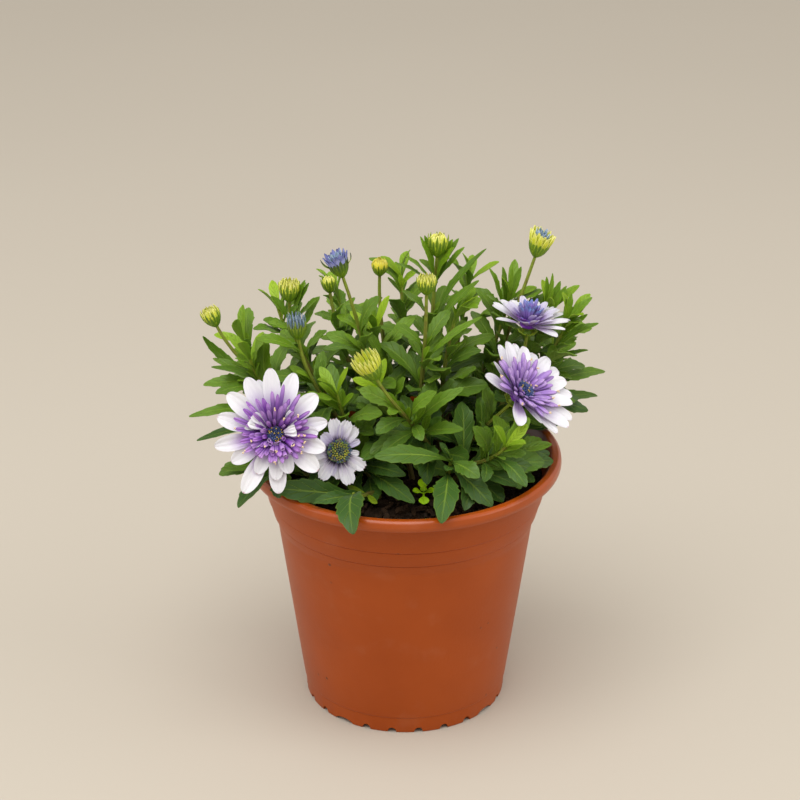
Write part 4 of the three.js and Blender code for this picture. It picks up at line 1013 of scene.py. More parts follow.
def facing(origin, axis):
    """The frame at a point whose +Z is the axis and whose +Y is as near world up as it can be."""
    z = Vector(axis).normalized()
    x = Vector((1, 0, 0)) if abs(z.z) > 0.98 else Vector((0, 0, 1)).cross(z).normalized()
    y = z.cross(x).normalized()
    turn = Matrix((y.cross(z), y, z)).transposed().to_4x4()
    return Matrix.Translation(origin) @ turn


def polar(degrees, radius, height):
    angle = math.radians(degrees)
    return Vector((radius * math.cos(angle), radius * math.sin(angle), height))


def seen(matrix, points):
    """Points of a head's own frame, in the plant's frame."""
    return points @ np.array(matrix.to_3x3()).T + np.array(matrix.translation)


def add_knob(growth, matrix, low, high, width, finish, tint):
    """A round knob on a head's axis, from one height to another."""
    points = bend(KNOB, Vector((0, 0, low)), Vector((0, 0, high)), Vector((1, 0, 0)), width, arch=0, fold=0)
    growth.add(KNOB, seen(matrix, points), finish, tint)


def head(letter):
    """The frame of an open flower: its middle, and its axis as +Z."""
    return facing(Vector(BLOOMS[letter]["centre"]), BLOOMS[letter]["axis"])


def ring(growth, blank, matrix, finish, count, root, tip, width, arch, tint, turn=0.0, uneven=0.0, draw=None):
    """A ring of blades about a head's axis, each from [radius, height] to [radius, height]."""
    for i in range(count):
        azimuth = turn + 360 * i / count
        shift = uneven * (draw() - 0.5) if draw else 0
        low = polar(azimuth, *root)
        high = polar(azimuth + 6 * shift, tip[0], tip[1] * (1 + shift))
        points = bend(blank, low, high, polar(azimuth, 1, 0), width, arch=arch, fold=0)
        own = draw() if draw else 0.5
        growth.add(blank, seen(matrix, points), finish, (tint[0], own, tint[2]))


def bud_cup(growth, matrix, radius, depth, rise, flare, count, dark, draw):
    """Two rings of bracts round the foot of a head, over a small solid core."""
    width = 2 * math.pi * radius / count
    height = rise + depth
    add_knob(growth, matrix, -depth - 0.8, -depth + height * 0.85, 1.2 * radius, BRACT, (0.2, 0.3, 0))
    for turn, reach, out, share in ((0, 0.8, 0.96, 0.98), (180 / count, 1.0, 1.0, 0.8)):
        tip = (radius * flare * out, -depth + height * reach)
        ring(growth, BRACT_BLANK, matrix, BRACT, count, (radius * 0.22, -depth), tip, width * share,
             0.13, (dark, 0, 0), turn, 0.28, draw)


print("bracts:", len(BRACT_BLANK.faces), "faces")

# %% [markdown]
# Small leaves fill the plant. They aren't in the solids, so each is kept only where it clears the flower
# heads, the pot and the other leaves, and hides nothing that belongs in view.

# %% Room for small leaves
FILL_TRIES = 7
LOOSE_LEAVES = 22
LEAFY_TO = {"bud_07": 0.97, "bud_02": 0.86}  # two buds stand low among their leaves
LENS = Vector(CAMERA_PLACE) / MM
# What isn't to be hidden: a point, and how far from the line between it and the lens a leaf has to keep.
IN_VIEW = [((9.6, -41, 140), 7), ((59.6, -22, 187.4), 15), ((-35.4, -43, 165), 16), ((66, 15, 213), 11),
           ((-7, -60, 134), 9), ((14, -52, 134), 8), ((37, -48, 134), 8), ((65, -20, 134), 8),
           ((-66.6, -60, 183), 20), ((-21, -50, 215), 9)]
# Leaves that stand up round a bud or the top of a shoot, as tip x, y, z and width.
UPRIGHT = {
    "bud_07": [(7.9, 26, 258.7, 4.4), (10.4, 30, 257.2, 4.2), (25.4, 33, 254.5, 5), (28.7, 30, 255.2, 4.6),
               (30.8, 26, 251.6, 4.4), (26, 24, 253.2, 6), (-0.3, 24, 248.8, 4.4), (-5.1, 24, 244.4, 3.6)],
    "leafy_01": [(45.6, 40, 235.3, 4.6), (52.8, 40, 235.9, 4.8), (62.9, 40, 236.1, 4.6),
                 (57.1, 40, 236.9, 2.6)],
    "leafy_02": [(76.3, 33, 233, 4.4), (79.5, 33, 235.1, 3.2), (84.2, 33, 232.7, 4.8),
                 (87.3, 33, 227.6, 4.2), (81.9, 33, 225.9, 4.4), (73.7, 33, 228.8, 4)],
    "leafy_03": [(88.9, 20, 228.9, 4.4), (91.8, 20, 225.1, 4.2), (86.5, 20, 225.3, 3.6),
                 (94.1, 20, 220.1, 4.4), (98.3, 20, 224.7, 4)],
    "bud_02": [(-53.3, 15, 238.2, 4.2), (-51.3, 15, 236.5, 4.4), (-45.6, 15, 228.6, 4.4),
               (-71.7, 15, 229, 5)],
}
UPRIGHT_SHARE = 0.86
UPRIGHT_CLOSE = 60
SPRIG = ("leafy_07", 0.5, 7)  # a star of bright young leaves low in front: its shoot, share and leaf count
# How many pairs of faces may cross, between leaves of one shoot and of two.
CLOSE = 16
CLOSE_TO_OTHERS = 6
HEAD_NODES = [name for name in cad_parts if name.split("_")[0] in ("petals", "rays", "florets", "disc")]


def tree_of(node):
    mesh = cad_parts[node].data
    return BVHTree.FromPolygons([v.co / MM for v in mesh.vertices], [list(p.vertices) for p in mesh.polygons])


def leaf_tree(blank, points):
    return BVHTree.FromPolygons([Vector(p) for p in points], blank.faces)


obstacles = [tree_of(name) for name in [*HEAD_NODES, "pot", "soil"]]
placed = {name: [] for name in SHOOTS}  # what each shoot already carries, as search trees with their boxes


def leaf_points(leaf, blank):
    return bend(blank, leaf["root"], leaf["tip"], leaf["up"], leaf["width"], leaf["arch"], leaf["fold"],
                leaf["sway"], leaf.get("curl", 0))


def remember(name, blank, points):
    placed[name].append((leaf_tree(blank, points), points.min(0), points.max(0)))


def hides(points, point, clear):
    """Whether a leaf comes within a distance of the line from a point to the lens."""
    sight = np.array((LENS - point).normalized())
    offsets = points - np.array(point)
    along = offsets @ sight
    distance = np.linalg.norm(offsets - along[:, None] * sight, axis=1)
    return bool(((along > -2) & (distance < clear)).any())


def touches(name, blank, points, close):
    """Whether a leaf would hide a head, or cut a head, the pot, the soil or too much of another leaf."""
    if any(hides(points, Vector(point), clear) for point, clear in IN_VIEW):
        return True
    tree = leaf_tree(blank, points)
    if any(tree.overlap(other) for other in obstacles):
        return True
    low, high = points.min(0), points.max(0)
    for owner, carried in placed.items():
        for other, its_low, its_high in carried:
            if (low > its_high).any() or (its_low > high).any():
                continue
            crossings = len(tree.overlap(other))
            if crossings > (close if owner == name else CLOSE_TO_OTHERS):
                return True
    return False


print("obstacles:", len(obstacles))

# %% [markdown]
# Three small leaves grow in each angle between an old leaf and its stem, loose ones between, and upright ones
# round some of the buds and tips.

# %% Small leaves
# In an axil: the turns of its leaves, their lengths and their width for 1 of length.
AXIL_TURNS = (-42, 0, 42)
AXIL_LENGTH = (9, 17)
AXIL_SLENDERNESS = 0.32
# Loose leaves: the lengths of low and high ones, and the least length of a toothed one.
LOOSE_LENGTH = (31, 15)
TOOTHED_FROM = 15


def small_leaves(name, line, draw):
    """Upright ones, three in each leaf axil and loose leaves between, from low to high."""
    for x, y, z, width in UPRIGHT.get(name, []):
        reach = Vector((x, y, z)) - line.point(UPRIGHT_SHARE)
        yield plan(UPRIGHT_SHARE, reach, width, "cut", 0.6, 0.06, 0.2, close=UPRIGHT_CLOSE)
    last = LEAFY_TO.get(name, 0.95 if name.startswith("leafy") else 0.72)
    for leaf in grown[name]:
        if leaf["kind"] == "young" or leaf["share"] > last:
            continue
        along = line.along(leaf["share"])
        out = leaf["tip"] - leaf["root"]
        for side in AXIL_TURNS:
            reach = turned(out.normalized(), along, side + 16 * (draw() - 0.5)) + along * 0.9
            length = mix(*AXIL_LENGTH, draw())
            reach = reach.normalized() * length
            yield plan(leaf["share"] + 0.015, reach, length * AXIL_SLENDERNESS, "young", draw(), 0.05, 0.22)
    if name == SPRIG[0]:
        for i in range(SPRIG[2]):
            reach = reach_at(line.along(SPRIG[1]), 360 * i / SPRIG[2], 62 - 30 * (i % 2), 11)
            yield plan(SPRIG[1], reach, 3.2, "young", 0.6, 0.08, 0.2, bright=0.45)
    if name in BARE:
        return
    azimuth = 360 * draw()
    for i in range(LOOSE_LEAVES):
        share = mix(0.12, last, (i + draw()) / LOOSE_LEAVES)
        azimuth += GOLDEN_ANGLE
        length = mix(*LOOSE_LENGTH, share) * mix(0.75, 1.2, draw())
        reach = reach_at(line.along(share), azimuth, mix(70, 40, share), length)
        kind = "cut" if length > TOOTHED_FROM else "young"
        width = length * mix(0.32, 0.42, draw())
        yield plan(share, reach, width, kind, draw(), mix(0.02, 0.16, draw()), 0.16, 0.2 * (draw() - 0.5))


for name, leaves in grown.items():
    for leaf in leaves:
        blank = LEAVES[leaf["kind"]][0]
        remember(name, blank, leaf_points(leaf, blank))

added = 0
for number, (name, line) in enumerate(SHOOTS.items()):
    draw = draws("small leaves", number)
    for leaf in list(small_leaves(name, line, draw)):
        blank = LEAVES[leaf["kind"]][0]
        along = line.along(leaf["share"])
        base = line.point(leaf["share"])
        for reach, _ in tries(leaf["reach"], along, FILL_TRIES):
            fitted = {**leaf, "root": base, "tip": base + reach, "up": facing_light(along, leaf["pull"])}
            points = leaf_points(fitted, blank)
            if not touches(name, blank, points, leaf.get("close", CLOSE)):
                grown[name].append(fitted)
                remember(name, blank, points)
                added += 1
                break
print("small leaves added:", added)

# %% [markdown]
# Each shoot becomes one piece: its stem, its leaves, and its cup of bracts if it ends in a bud or a flower. A
# leaf's age follows its height on the stem, so the tufts at the top stay bright; leaves low in the plant are
# darker still, partly with age and partly as painted shade.

# %% Build the shoots
BUD_STALK = 1.1  # for the bud's radius
# How far the bracts reach above the seat, for the radius.
BRACT_REACH = {"closed": 0.5, "lime": 0.75, "egg": 1.1, "crown": 0.6, "thin": 0.75, "wide": 1.0, "inner": 0.8}
SPREAD_BRACTS = {"wide": (78, 264)}  # azimuths of thin bracts that stand off
BRACTS = 9  # in each of a cup's two rings
DARK_TIPS = 0.3


def leaf_tint(leaf, name, draw):
    """Age, own shade and brightness: older lower on a stem, and darker low in the plant, as age and painted
    shade.
    """
    height = leaf["tip"].z - SOIL_LEVEL
    # The term for the leaf's height over the soil is partly real age and partly painted shade from the leaves
    # above.
    age = 0.2 + 0.6 * (1 - leaf["share"]) + 0.6 * max(0, 1 - height / 60) + 0.4 * (draw() - 0.5)
    bright = 0
    if leaf["kind"] == "young" and height > 40:
        age *= 0.4
        bright = 0.4 * draw() * (leaf["share"] > 0.9)
    # The bare shoots low in front are darkened further, as painted shade.
    if name in BARE:
        age += 0.35
    return (min(max(age, 0), 1), draw(), leaf.get("bright", bright))


def add_head_cup(growth, name, line, draw):
    """The cup of bracts that ends a shoot, where it carries a bud or a flower."""
    if name.startswith("bud"):
        bud = BUDS[int(name[-2:]) - 1]
        radius = bud["radius"]
        stalk = BUD_STALK * radius
        matrix = facing(line.end + line.direction * stalk, line.direction)
        rise = radius * BRACT_REACH[bud["look"]]
        bud_cup(growth, matrix, radius, stalk, rise, 1.0, BRACTS, bud.get("dark", DARK_TIPS), draw)
        for azimuth in SPREAD_BRACTS.get(bud["look"], ()):
            low = polar(azimuth, 0.85 * radius, 0)
            high = polar(azimuth, 1.5 * radius, 1.1 * radius)
            points = bend(BRACT_BLANK, low, high, polar(azimuth, 0, 1), 2.4, arch=-0.12, fold=0.2)
            growth.add(BRACT_BLANK, seen(matrix, points), BRACT, (1, 0, 0))
    elif name.startswith("bloom"):
        bloom = BLOOMS[name[-1]]
        axis = Vector(bloom["axis"]).normalized()
        under = facing(Vector(bloom["centre"]) - axis * (HUB_DEPTH + 0.3), axis)
        bud_cup(growth, under, bloom["hub"] * 0.8, BLOOM_STALK, -0.6, 1.3, BRACTS, 0.2, draw)


for number, (name, line) in enumerate(SHOOTS.items()):
    draw = draws("shoots", number)
    growth = Growth()
    growth.add(STEM_BLANK, stem_points(line), STEM)
    for leaf in grown[name]:
        blank = LEAVES[leaf["kind"]][int(3 * draw())]
        curled = {**leaf, "curl": mix(-0.22, 0.3, draw())}
        growth.add(blank, leaf_points(curled, blank), LEAF, leaf_tint(leaf, name, draw))
    add_head_cup(growth, name, line, draw)
    growth.build(f"shoot_{name}", "foliage", name)
print("shoots built:", len(SHOOTS))

# %% [markdown]
# The closed petals of a bud fill its cup: up to five rings, the outermost carrying on the round of the bracts
# and the others leaning in, and a green middle. On the opening buds they are longer and already coloured.

# %% Build the bud petals
# For each look: the finishes of the outer and inner rings, petals in the outermost ring, how wide the crown
# is at its waist and at its top and how tall it is, as shares of the cup's radius, and how much of their
# room the petals fill.
BUD_LOOKS = {
    "closed": (BUD_YELLOW, BUD_YELLOW, 15, 0.98, 0.56, 0.98, 0.95),
    "lime": (BUD_LIME, BUD_LIME, 15, 0.96, 0.84, 0.95, 0.8),
    "egg": (BUD_LIME, BUD_LIME, 10, 0.94, 0.55, 1.1, 0.95),
    "crown": (BUD_LIME, BUD_LIME, 19, 1.0, 1.08, 1.15, 0.8),
    "thin": (BUD_STEEL, BUD_STEEL, 15, 0.92, 0.9, 1.5, 0.42),
    "wide": (BUD_BLUE, BUD_STEEL, 11, 0.9, 1.22, 1.3, 0.95),
    "inner": (BUD_LIME, BUD_STEEL, 11, 1.0, 1.2, 1.35, 0.95),
}
# Rings of a crown from the outside in: width, height and fill, as shares of the outermost ring's.
CROWN_RINGS = [(1.0, 0.94, 1.0), (0.8, 1.0, 0.95), (0.56, 1.03, 0.85), (0.3, 0.96, 0.8), (0.1, 0.86, 0.8)]


def build_bud(number, bud):
    draw = draws("buds", number)
    line = SHOOTS[f"bud_{number:02d}"]
    radius = bud["radius"]
    matrix = facing(line.end + line.direction * BUD_STALK * radius, line.direction)
    outer, inner, count, waist, top, tall, fill = BUD_LOOKS[bud["look"]]
    height = radius * tall
    growth = Growth()
    width = 2 * math.pi * radius / count
    for layer, (share, reach, part) in enumerate(CROWN_RINGS[:2 if bud["look"] == "crown" else 5]):
        finish = outer if layer < 2 else inner
        low = Vector((0.45 * radius * share, -0.7 * radius))
        high = Vector((top * radius * share, height * reach))
        arch = (waist * share * radius - (low.x + high.x) / 2) / (high - low).length
        ring(growth, CLOSED_PETAL, matrix, finish, max(4, round(count * (0.25 + 0.75 * share))), low, high,
             width * fill * part, arch, (0.5, 0, 0), 40 * share, 0.3, draw)
    top = height * (0.3 if bud["look"] == "crown" else 0.6)
    add_knob(growth, matrix, -radius, top, radius * 1.1, BUD_LIME, (0.5, 0.2, 0.6))
    slot = "bud_petal_blue" if BUD_BLUE in (outer, inner) or inner is BUD_STEEL else "bud_petal"
    growth.build(f"closed_petals_{number:02d}", slot, f"petals_{number:02d}")


for number, bud in enumerate(BUDS, 1):
    build_bud(number, bud)
print("buds built:", len(BUDS))

# %% [markdown]
# A ray petal is broad and softly grooved along its length. The rays of the small young flower end in notches.
# Flower C, which is seen from above, has three inner rings as well, and two dark petals bent back in front.

# %% Ray petals
PETAL_DROOP = 0.06
RAY_ROOT = 0.45  # where a ray starts, as a share of the hub's radius


def ray_relief(length, across):
    return 0.12 * across * across - 0.022 * math.cos(3 * math.pi * across) * (1 - length * 0.5)


RAY_OUTLINE = [(0, 0.3), (0.12, 0.4), (0.25, 0.55), (0.38, 0.74), (0.5, 0.89), (0.6, 0.98), (0.68, 1.0),
               (0.78, 0.94), (0.87, 0.79), (0.94, 0.57), (0.975, 0.37), (0.993, 0.2), (1, 0.07)]
RAY_BLANK = flat_blade(RAY_OUTLINE, 6, ray_relief, 0.1)
NOTCHED_OUTLINE = [(0, 0.4), (0.2, 0.56), (0.4, 0.8), (0.6, 0.95), (0.76, 1.0), (0.88, 0.88), (0.96, 0.66),
                   (1, 0.44)]
NOTCHED_BLANK = flat_blade(NOTCHED_OUTLINE, 6, ray_relief, 0.12)
TIP_NOTCH = 0.035
tip_row = NOTCHED_BLANK.along > 0.94
notch = TIP_NOTCH * (np.cos(3 * math.pi * NOTCHED_BLANK.across / 0.7) < 0)
NOTCHED_BLANK.along = NOTCHED_BLANK.along - tip_row * notch


def ray_points(blank, hub, azimuth, length, width, rise, twist, lift):
    """A ray in its head's frame, rising from the hub and drooping to its tip."""
    start = hub * RAY_ROOT
    r = start + blank.along * (length - start)
    t = (r - hub) / (length - hub)
    slope = math.radians(rise)
    out = np.array(polar(azimuth, 1, 0))
    side = np.array(polar(azimuth + 90, 1, 0))
    across = blank.across * width / 2
    droop = PETAL_DROOP * length * np.clip(t, 0, 2) ** 2
    z = math.sin(slope) * (r - hub) - droop + 0.1 * abs(blank.across) * width
    z = z + blank.height * width / 2 + twist * across * t + lift * np.clip(t, 0, 1) ** 3 * length
    return out * (r * math.cos(slope))[:, None] + side * across[:, None] + np.array((0, 0, 1)) * z[:, None]


# Of flower C, as count, length, width, rise, turn and lilac.
INNER_RINGS = [(12, 19, 4.6, 36, 10, 0.5), (10, 15.5, 4.6, 54, 24, 0.9), (8, 12.5, 4.2, 68, 8, 1.0)]
RAY_WIDTH = {"a": 1.0, "b": 1.0, "c": 0.86, "d": 1.08}  # for the solids' width
# Lilac, and purple at the foot.
RAY_LOOKS = {"a": (0.0, 0.99), "b": (0.0, 0.6), "c": (0.0, 0.5), "d": (0.0, 1.3)}
UPPER_BLUSH = 0.6  # of the upper rays of flower A, for the lower ones
LILAC_RAYS = {"a": (), "b": (236,), "c": (), "d": (78, 127, 20, 249)}  # the azimuths of lilac ones
RECURVED = [(203, 13, 5.8, 55), (229, 13, 5.8, 55)]  # dark ones in front of flower C
FRONT_GAP = (216, 34)  # where its inner rings leave room for them: middle and half width

for letter, bloom in BLOOMS.items():
    draw = draws("rays", ord(letter))
    matrix = head(letter)
    lilac, purple = RAY_LOOKS[letter]
    blank = NOTCHED_BLANK if letter == "d" else RAY_BLANK
    growth = Growth()
    for azimuth, length, width, rise in bloom["rays"]:
        points = ray_points(blank, bloom["hub"], azimuth, length, width * RAY_WIDTH[letter], rise,
                            0.36 * (draw() - 0.5), 0.07 * (draw() - 0.5))
        own_lilac = lilac + (0.5 if azimuth in LILAC_RAYS[letter] else 0) + 0.1 * draw()
        blush = purple * (UPPER_BLUSH if letter == "a" and math.sin(math.radians(azimuth)) > 0.3 else 1)
        growth.add(blank, seen(matrix, points), RAY, (own_lilac, draw(), blush))
    if letter == "c":
        for count, reach, width, rise, turn, tone in INNER_RINGS:
            for i in range(count):
                azimuth = 360 * (i + 0.3 * draw()) / count + turn
                if abs(azimuth - FRONT_GAP[0]) < FRONT_GAP[1]:
                    continue
                points = ray_points(blank, bloom["hub"] * 0.8, azimuth, reach * mix(0.9, 1.06, draw()), width,
                                    rise + 6 * (i % 2), 0, 0)
                growth.add(blank, seen(matrix, points), RAY, (tone + 0.2 * (draw() - 0.5), draw(), 0.7))
        for azimuth, length, width, rise in RECURVED:
            points = ray_points(blank, bloom["hub"] * 0.8, azimuth, length, width, rise, 0, -0.1)
            growth.add(blank, seen(matrix, points), VIOLET, (0, 0.1, 0))
    add_knob(growth, matrix, -HUB_DEPTH, 1.4, 2 * bloom["hub"], VIOLET, (0, 0, 0))
    growth.build(f"ray_petals_{letter}", "ray_petal", f"rays_{letter}")
print("ray petals built:", sum(len(bloom["rays"]) for bloom in BLOOMS.values()))

# %% [markdown]
# Between the rays and the middle stand the quilled florets, in rings that grow steeper inwards. A few carry
# pollen, and on the large flower some have turned into small white petals.

# %% Florets
FLORET_SEAT = 1.9
PLATE_DEPTH = 2
FLORET = round_blank([(0, 0.3), (0.12, 0.45), (0.35, 0.74), (0.6, 0.98), (0.78, 1.0), (0.9, 0.8),
                      (0.97, 0.45), (1, 0.03)], 6, 0.5)
# The same with an open mouth: its profile turns back inwards at the tip.
MOUTHED = round_blank([(0, 0.3), (0.35, 0.62), (0.7, 0.86), (0.93, 1.0), (1, 0.96), (0.985, 0.7), (0.86, 0.5),
                       (0.8, 0.03)], 7, 0.8)
CUPPED = flat_blade([(0, 0.25), (0.3, 0.5), (0.55, 0.82), (0.78, 1.0), (0.93, 0.9), (1, 0.62)], 4,
                    lambda length, across: 0.4 * across * across + 0.05 * math.cos(5 * across) * length, 0.14)
GRAIN = round_blank([(0, 0.05), (0.25, 0.9), (0.6, 1.0), (1, 0.05)], 5)

# Rings of florets: [count, radius, length, rise in degrees, half width].
FLORET_RINGS = {
    "a": [(25, 6, 16, 16, 1.45), (24, 5.4, 14, 25, 1.5), (20, 4.7, 11, 38, 1.4), (14, 4, 7.4, 54, 1.2)],
    "b": [(22, 6, 16.5, 32, 1.6), (20, 5.4, 14.5, 40, 1.6), (15, 4.8, 11, 52, 1.4), (9, 4.4, 6.5, 66, 1.1)],
    "c": [(15, 4.2, 9.6, 70, 1.2), (9, 2.4, 9.6, 82, 1.0)],
    "d": [(15, 5.4, 3.2, 46, 0.6), (13, 4.9, 2.6, 66, 0.55)],
}
UPPER_LONGER = {"a": 0.26, "b": 0.06, "c": 0, "d": 0}  # how much those on the upper side outgrow the mean
LOWER_STEEPER = {"a": 16, "b": 0, "c": 0, "d": 0}  # degrees that the lower ones rise more
# The radius of the plate that they stand on, and how many of them carry pollen.
PLATES = {"a": 7.4, "b": 7.4, "c": 6, "d": 6.2}
POLLEN_SHARE = {"a": 0.2, "b": 0.15, "c": 0.0, "d": 0.0}

for letter, rings in FLORET_RINGS.items():
    draw = draws("florets", ord(letter))
    matrix = head(letter)
    finish = {"a": VIOLET, "b": LILAC, "c": BLUE, "d": YOUNG}[letter]
    growth = Growth()
    dust = Growth()
    plate = PLATES[letter]
    top = FLORET_SEAT + PLATE_DEPTH
    add_knob(growth, matrix, FLORET_SEAT - 1, top, 2 * plate, finish, (0, 0, 0))
    for layer, (count, radius, length, rise, thick) in enumerate(rings):
        for i in range(count):
            azimuth = 360 * (i + 0.9 * (draw() - 0.5)) / count + 11 * radius
            upper = math.sin(math.radians(azimuth))
            reach = length * mix(0.76, 1.1, draw()) * (1 + UPPER_LONGER[letter] * upper)
            steep = LOWER_STEEPER[letter] * max(0, -upper)
            slope = math.radians(min(rise + steep + 18 * (draw() - 0.5), 86))
            mouthed = letter == "a" and layer > 0 and upper < -0.15 and draw() < 0.6
            blank = MOUTHED if mouthed else FLORET
            low = polar(azimuth, radius * 0.8, mix(top, FLORET_SEAT + 0.5, radius / plate))
            high = low + polar(azimuth + 5 * (draw() - 0.5), math.cos(slope), math.sin(slope)) * reach
            points = bend(blank, low, high, Vector((0, 0, 1)), 2 * thick * mix(0.8, 1.15, draw()),
                          arch=0.05, fold=0)
            growth.add(blank, seen(matrix, points), finish, (draw() * mouthed, draw(), 0.12 * draw()))
            if draw() < POLLEN_SHARE[letter]:
                for _ in range(3):
                    grain = high + Vector((draw() - 0.5, draw() - 0.5, draw() + 0.1)) * 1.3
                    above = grain + Vector((0, 0, 0.9))
                    spot = bend(GRAIN, grain, above, Vector((1, 0, 0)), 0.9, arch=0, fold=0)
                    dust.add(GRAIN, seen(matrix, spot), POLLEN)
    slot = "young_floret" if letter == "d" else "floret"
    growth.build(f"quilled_florets_{letter}", slot, f"florets_{letter}")
    if dust.count:
        dust.build(f"pollen_{letter}", "floret")
print("florets:", {letter: sum(r[0] for r in rings) for letter, rings in FLORET_RINGS.items()})

# %% [markdown]
# The white petaloids of the large flower are small and cupped. Each is placed one by one.

# %% Petaloids
# Of each: azimuth, how far out its foot and its tip are, width, and the height of its tip.
PETALOIDS = [(137, 8.5, 15, 5.4, 7.6), (150, 8, 15, 6, 7.4), (159, 10, 14, 2.8, 8), (53, 9, 14.5, 3.4, 7),
             (60, 12, 16.5, 2.4, 6), (16, 6, 10.6, 3.9, 9.8), (2, 6.5, 10.8, 3.6, 9.6), (30, 9.5, 13, 2.4, 8),
             (-81, 10, 15, 3, 6), (165, 12, 16, 2.4, 5.5), (-150, 9, 12, 1.8, 7), (-35, 9.5, 12.5, 2, 7)]


def build_petaloids(letter, petaloids):
    draw = draws("petaloids")
    matrix = head(letter)
    growth = Growth()
    for azimuth, inner, outer, width, height in petaloids:
        low = polar(azimuth, inner * 0.75, height - 2.5)
        high = polar(azimuth, outer, height)
        points = bend(CUPPED, low, high, Vector((0, 0, 1)), width, arch=0.12, fold=0)
        growth.add(CUPPED, seen(matrix, points), RAY, (0.15 * draw(), draw(), 0.3))
    growth.build(f"petaloids_{letter}", "ray_petal")


build_petaloids("a", PETALOIDS)
print("petaloids built:", len(PETALOIDS))

# %% [markdown]
# The middle of each flower is a dome of closed florets set in a spiral, like seeds in a sunflower.

# %% Disc domes
# For each flower: radius, height, florets, size of one.
DOMES = {"a": (3.4, 3.6, 60, 0.95), "b": (4.7, 3.6, 80, 1.05), "c": (2.8, 3, 40, 0.9),
         "d": (5.2, 3.6, 90, 1.12)}


def disc_tint(letter, rank, draw):
    """Blue, green and yellow of one floret, by how far out it stands."""
    if letter == "d":
        if rank < 0.35:
            return (0.35, 0.35, 0.1 * draw())
        if rank < 0.75:
            return (0.15, 0.5 + 0.5 * draw(), 0.6 * draw())
        return (0.6, 0.4 * draw(), 0.4 if draw() > 0.7 else 0)
    low = 0.6 if letter == "b" else 0.25
    return (mix(low, 1, draw()), 0.15 * draw(), 0.9 if draw() > 0.8 else 0)


for letter, (radius, height, count, size) in DOMES.items():
    draw = draws("domes", ord(letter))
    matrix = head(letter)
    base = FLORET_SEAT + PLATE_DEPTH + 0.3
    growth = Growth()
    add_knob(growth, matrix, base, base + height, 2 * radius, DISC, (0.1, 0, 0))
    for i in range(count):
        rank = math.sqrt((i + 0.5) / count)
        out = polar(i * GOLDEN_ANGLE, rank * radius, 0)
        foot = out + Vector((0, 0, base + height * math.sqrt(max(0, 1 - 0.8 * rank * rank)) - 0.5))
        lean = (out * 0.28 + Vector((0, 0, 1))).normalized()
        tip = foot + lean * size * mix(1.2, 2.0, draw())
        points = bend(GRAIN, foot, tip, Vector((1, 0, 0)), size, arch=0, fold=0)
        growth.add(GRAIN, seen(matrix, points), DISC, disc_tint(letter, rank, draw))
    growth.build(f"disc_dome_{letter}", "disc", f"disc_{letter}")
print("domes built:", len(DOMES))

# %% [markdown]
# The seedling has round leaves on short stalks, bright yellow-green and made brighter still as painted light.

# %% Seedling
SEEDLING = {"x": 9.6, "y": -41, "height": 7, "leaf": 5.8, "width": 5.6}
SEEDLING_LEAVES = [(5, 0.2), (95, 0.9), (182, 0.2), (272, -0.7)]  # azimuth, rise for 1 outwards
MIDDLE_LEAVES = (48, 140, 228, 318)  # azimuths of the small ones between
ROUND_LEAF = flat_blade([(0, 0.14), (0.3, 0.16), (0.42, 0.5), (0.56, 0.86), (0.72, 1.0), (0.87, 0.8),
                         (0.96, 0.45), (1, 0.12)], 4, lambda length, across: 0.12 * across * across, 0.14)


def build_seedling():
    draw = draws("seedling")
    foot = Vector((SEEDLING["x"], SEEDLING["y"], SOIL_LEVEL))
    end = foot + Vector((0, 0, SEEDLING["height"]))
    growth = Growth()
    stalk = bend(KNOB, foot - Vector((0, 0, STEM_DEPTH)), end, Vector((1, 0, 0)), 2.2, arch=0, fold=0)
    growth.add(KNOB, stalk, STEM, (0, 0.5, 0.5))
    for azimuth, rise in SEEDLING_LEAVES:
        reach = polar(azimuth, SEEDLING["leaf"], rise * SEEDLING["leaf"])
        points = bend(ROUND_LEAF, end - Vector((0, 0, 0.6)), end + reach, polar(azimuth + 180, 0.6, 1),
                      SEEDLING["width"], arch=0.04, fold=0.06)
        # A brightness near 1 takes the seedling's lightened colour, which is painted light.
        growth.add(ROUND_LEAF, points, SEEDLING_LEAF_PAINTED_LIGHT, (0, draw(), 0.97))
    for azimuth in MIDDLE_LEAVES:
        reach = polar(azimuth, 2.2, 2)
        points = bend(ROUND_LEAF, end, end + reach, polar(azimuth + 180, 0.6, 1), 2.2, arch=0.1, fold=0.15)
        growth.add(ROUND_LEAF, points, SEEDLING_LEAF_PAINTED_LIGHT, (0, draw(), 0.9))
    growth.build("seedling_plant", "seedling_leaf", "seedling")


build_seedling()
print("seedling built")

# %% [markdown]
# The pot is turned: its profile is spun about the axis in one step, as a mould is cut on a lathe. Each corner
# of the profile is rounded a little first, because plastic never has a knife edge.

# %% Pot
POT_HEIGHT = 145
RIM_RADIUS = 85
LIP_INNER_RADIUS = 79.5
LIP_SKIRT = 6.4
FOOT_RADIUS = 55.6
FOOT_RING = 3
RING_STEP = 0.6
FOOT_STEP = (56.2, 9.5)
SHOULDER = (69.9, 106.2)
LOWER_RING = (71.7, 111.7)
UPPER_RING = (74.6, 121.1)
UNDER_LIP = (77.3, 137.6)
INNER_SHOULDER_HEIGHT = 104
INNER_BAND = (72.6, 120)
NECK = (75.2, 136)
WALL = 1.6
FLOOR_UNDERSIDE = 7
FLOOR_TOP = 9
SPIN_STEPS = 144
CORNER_STEPS = 3


def wall_radius(z):
    return mix(FOOT_STEP[0], SHOULDER[0], (z - FOOT_STEP[1]) / (SHOULDER[1] - FOOT_STEP[1]))


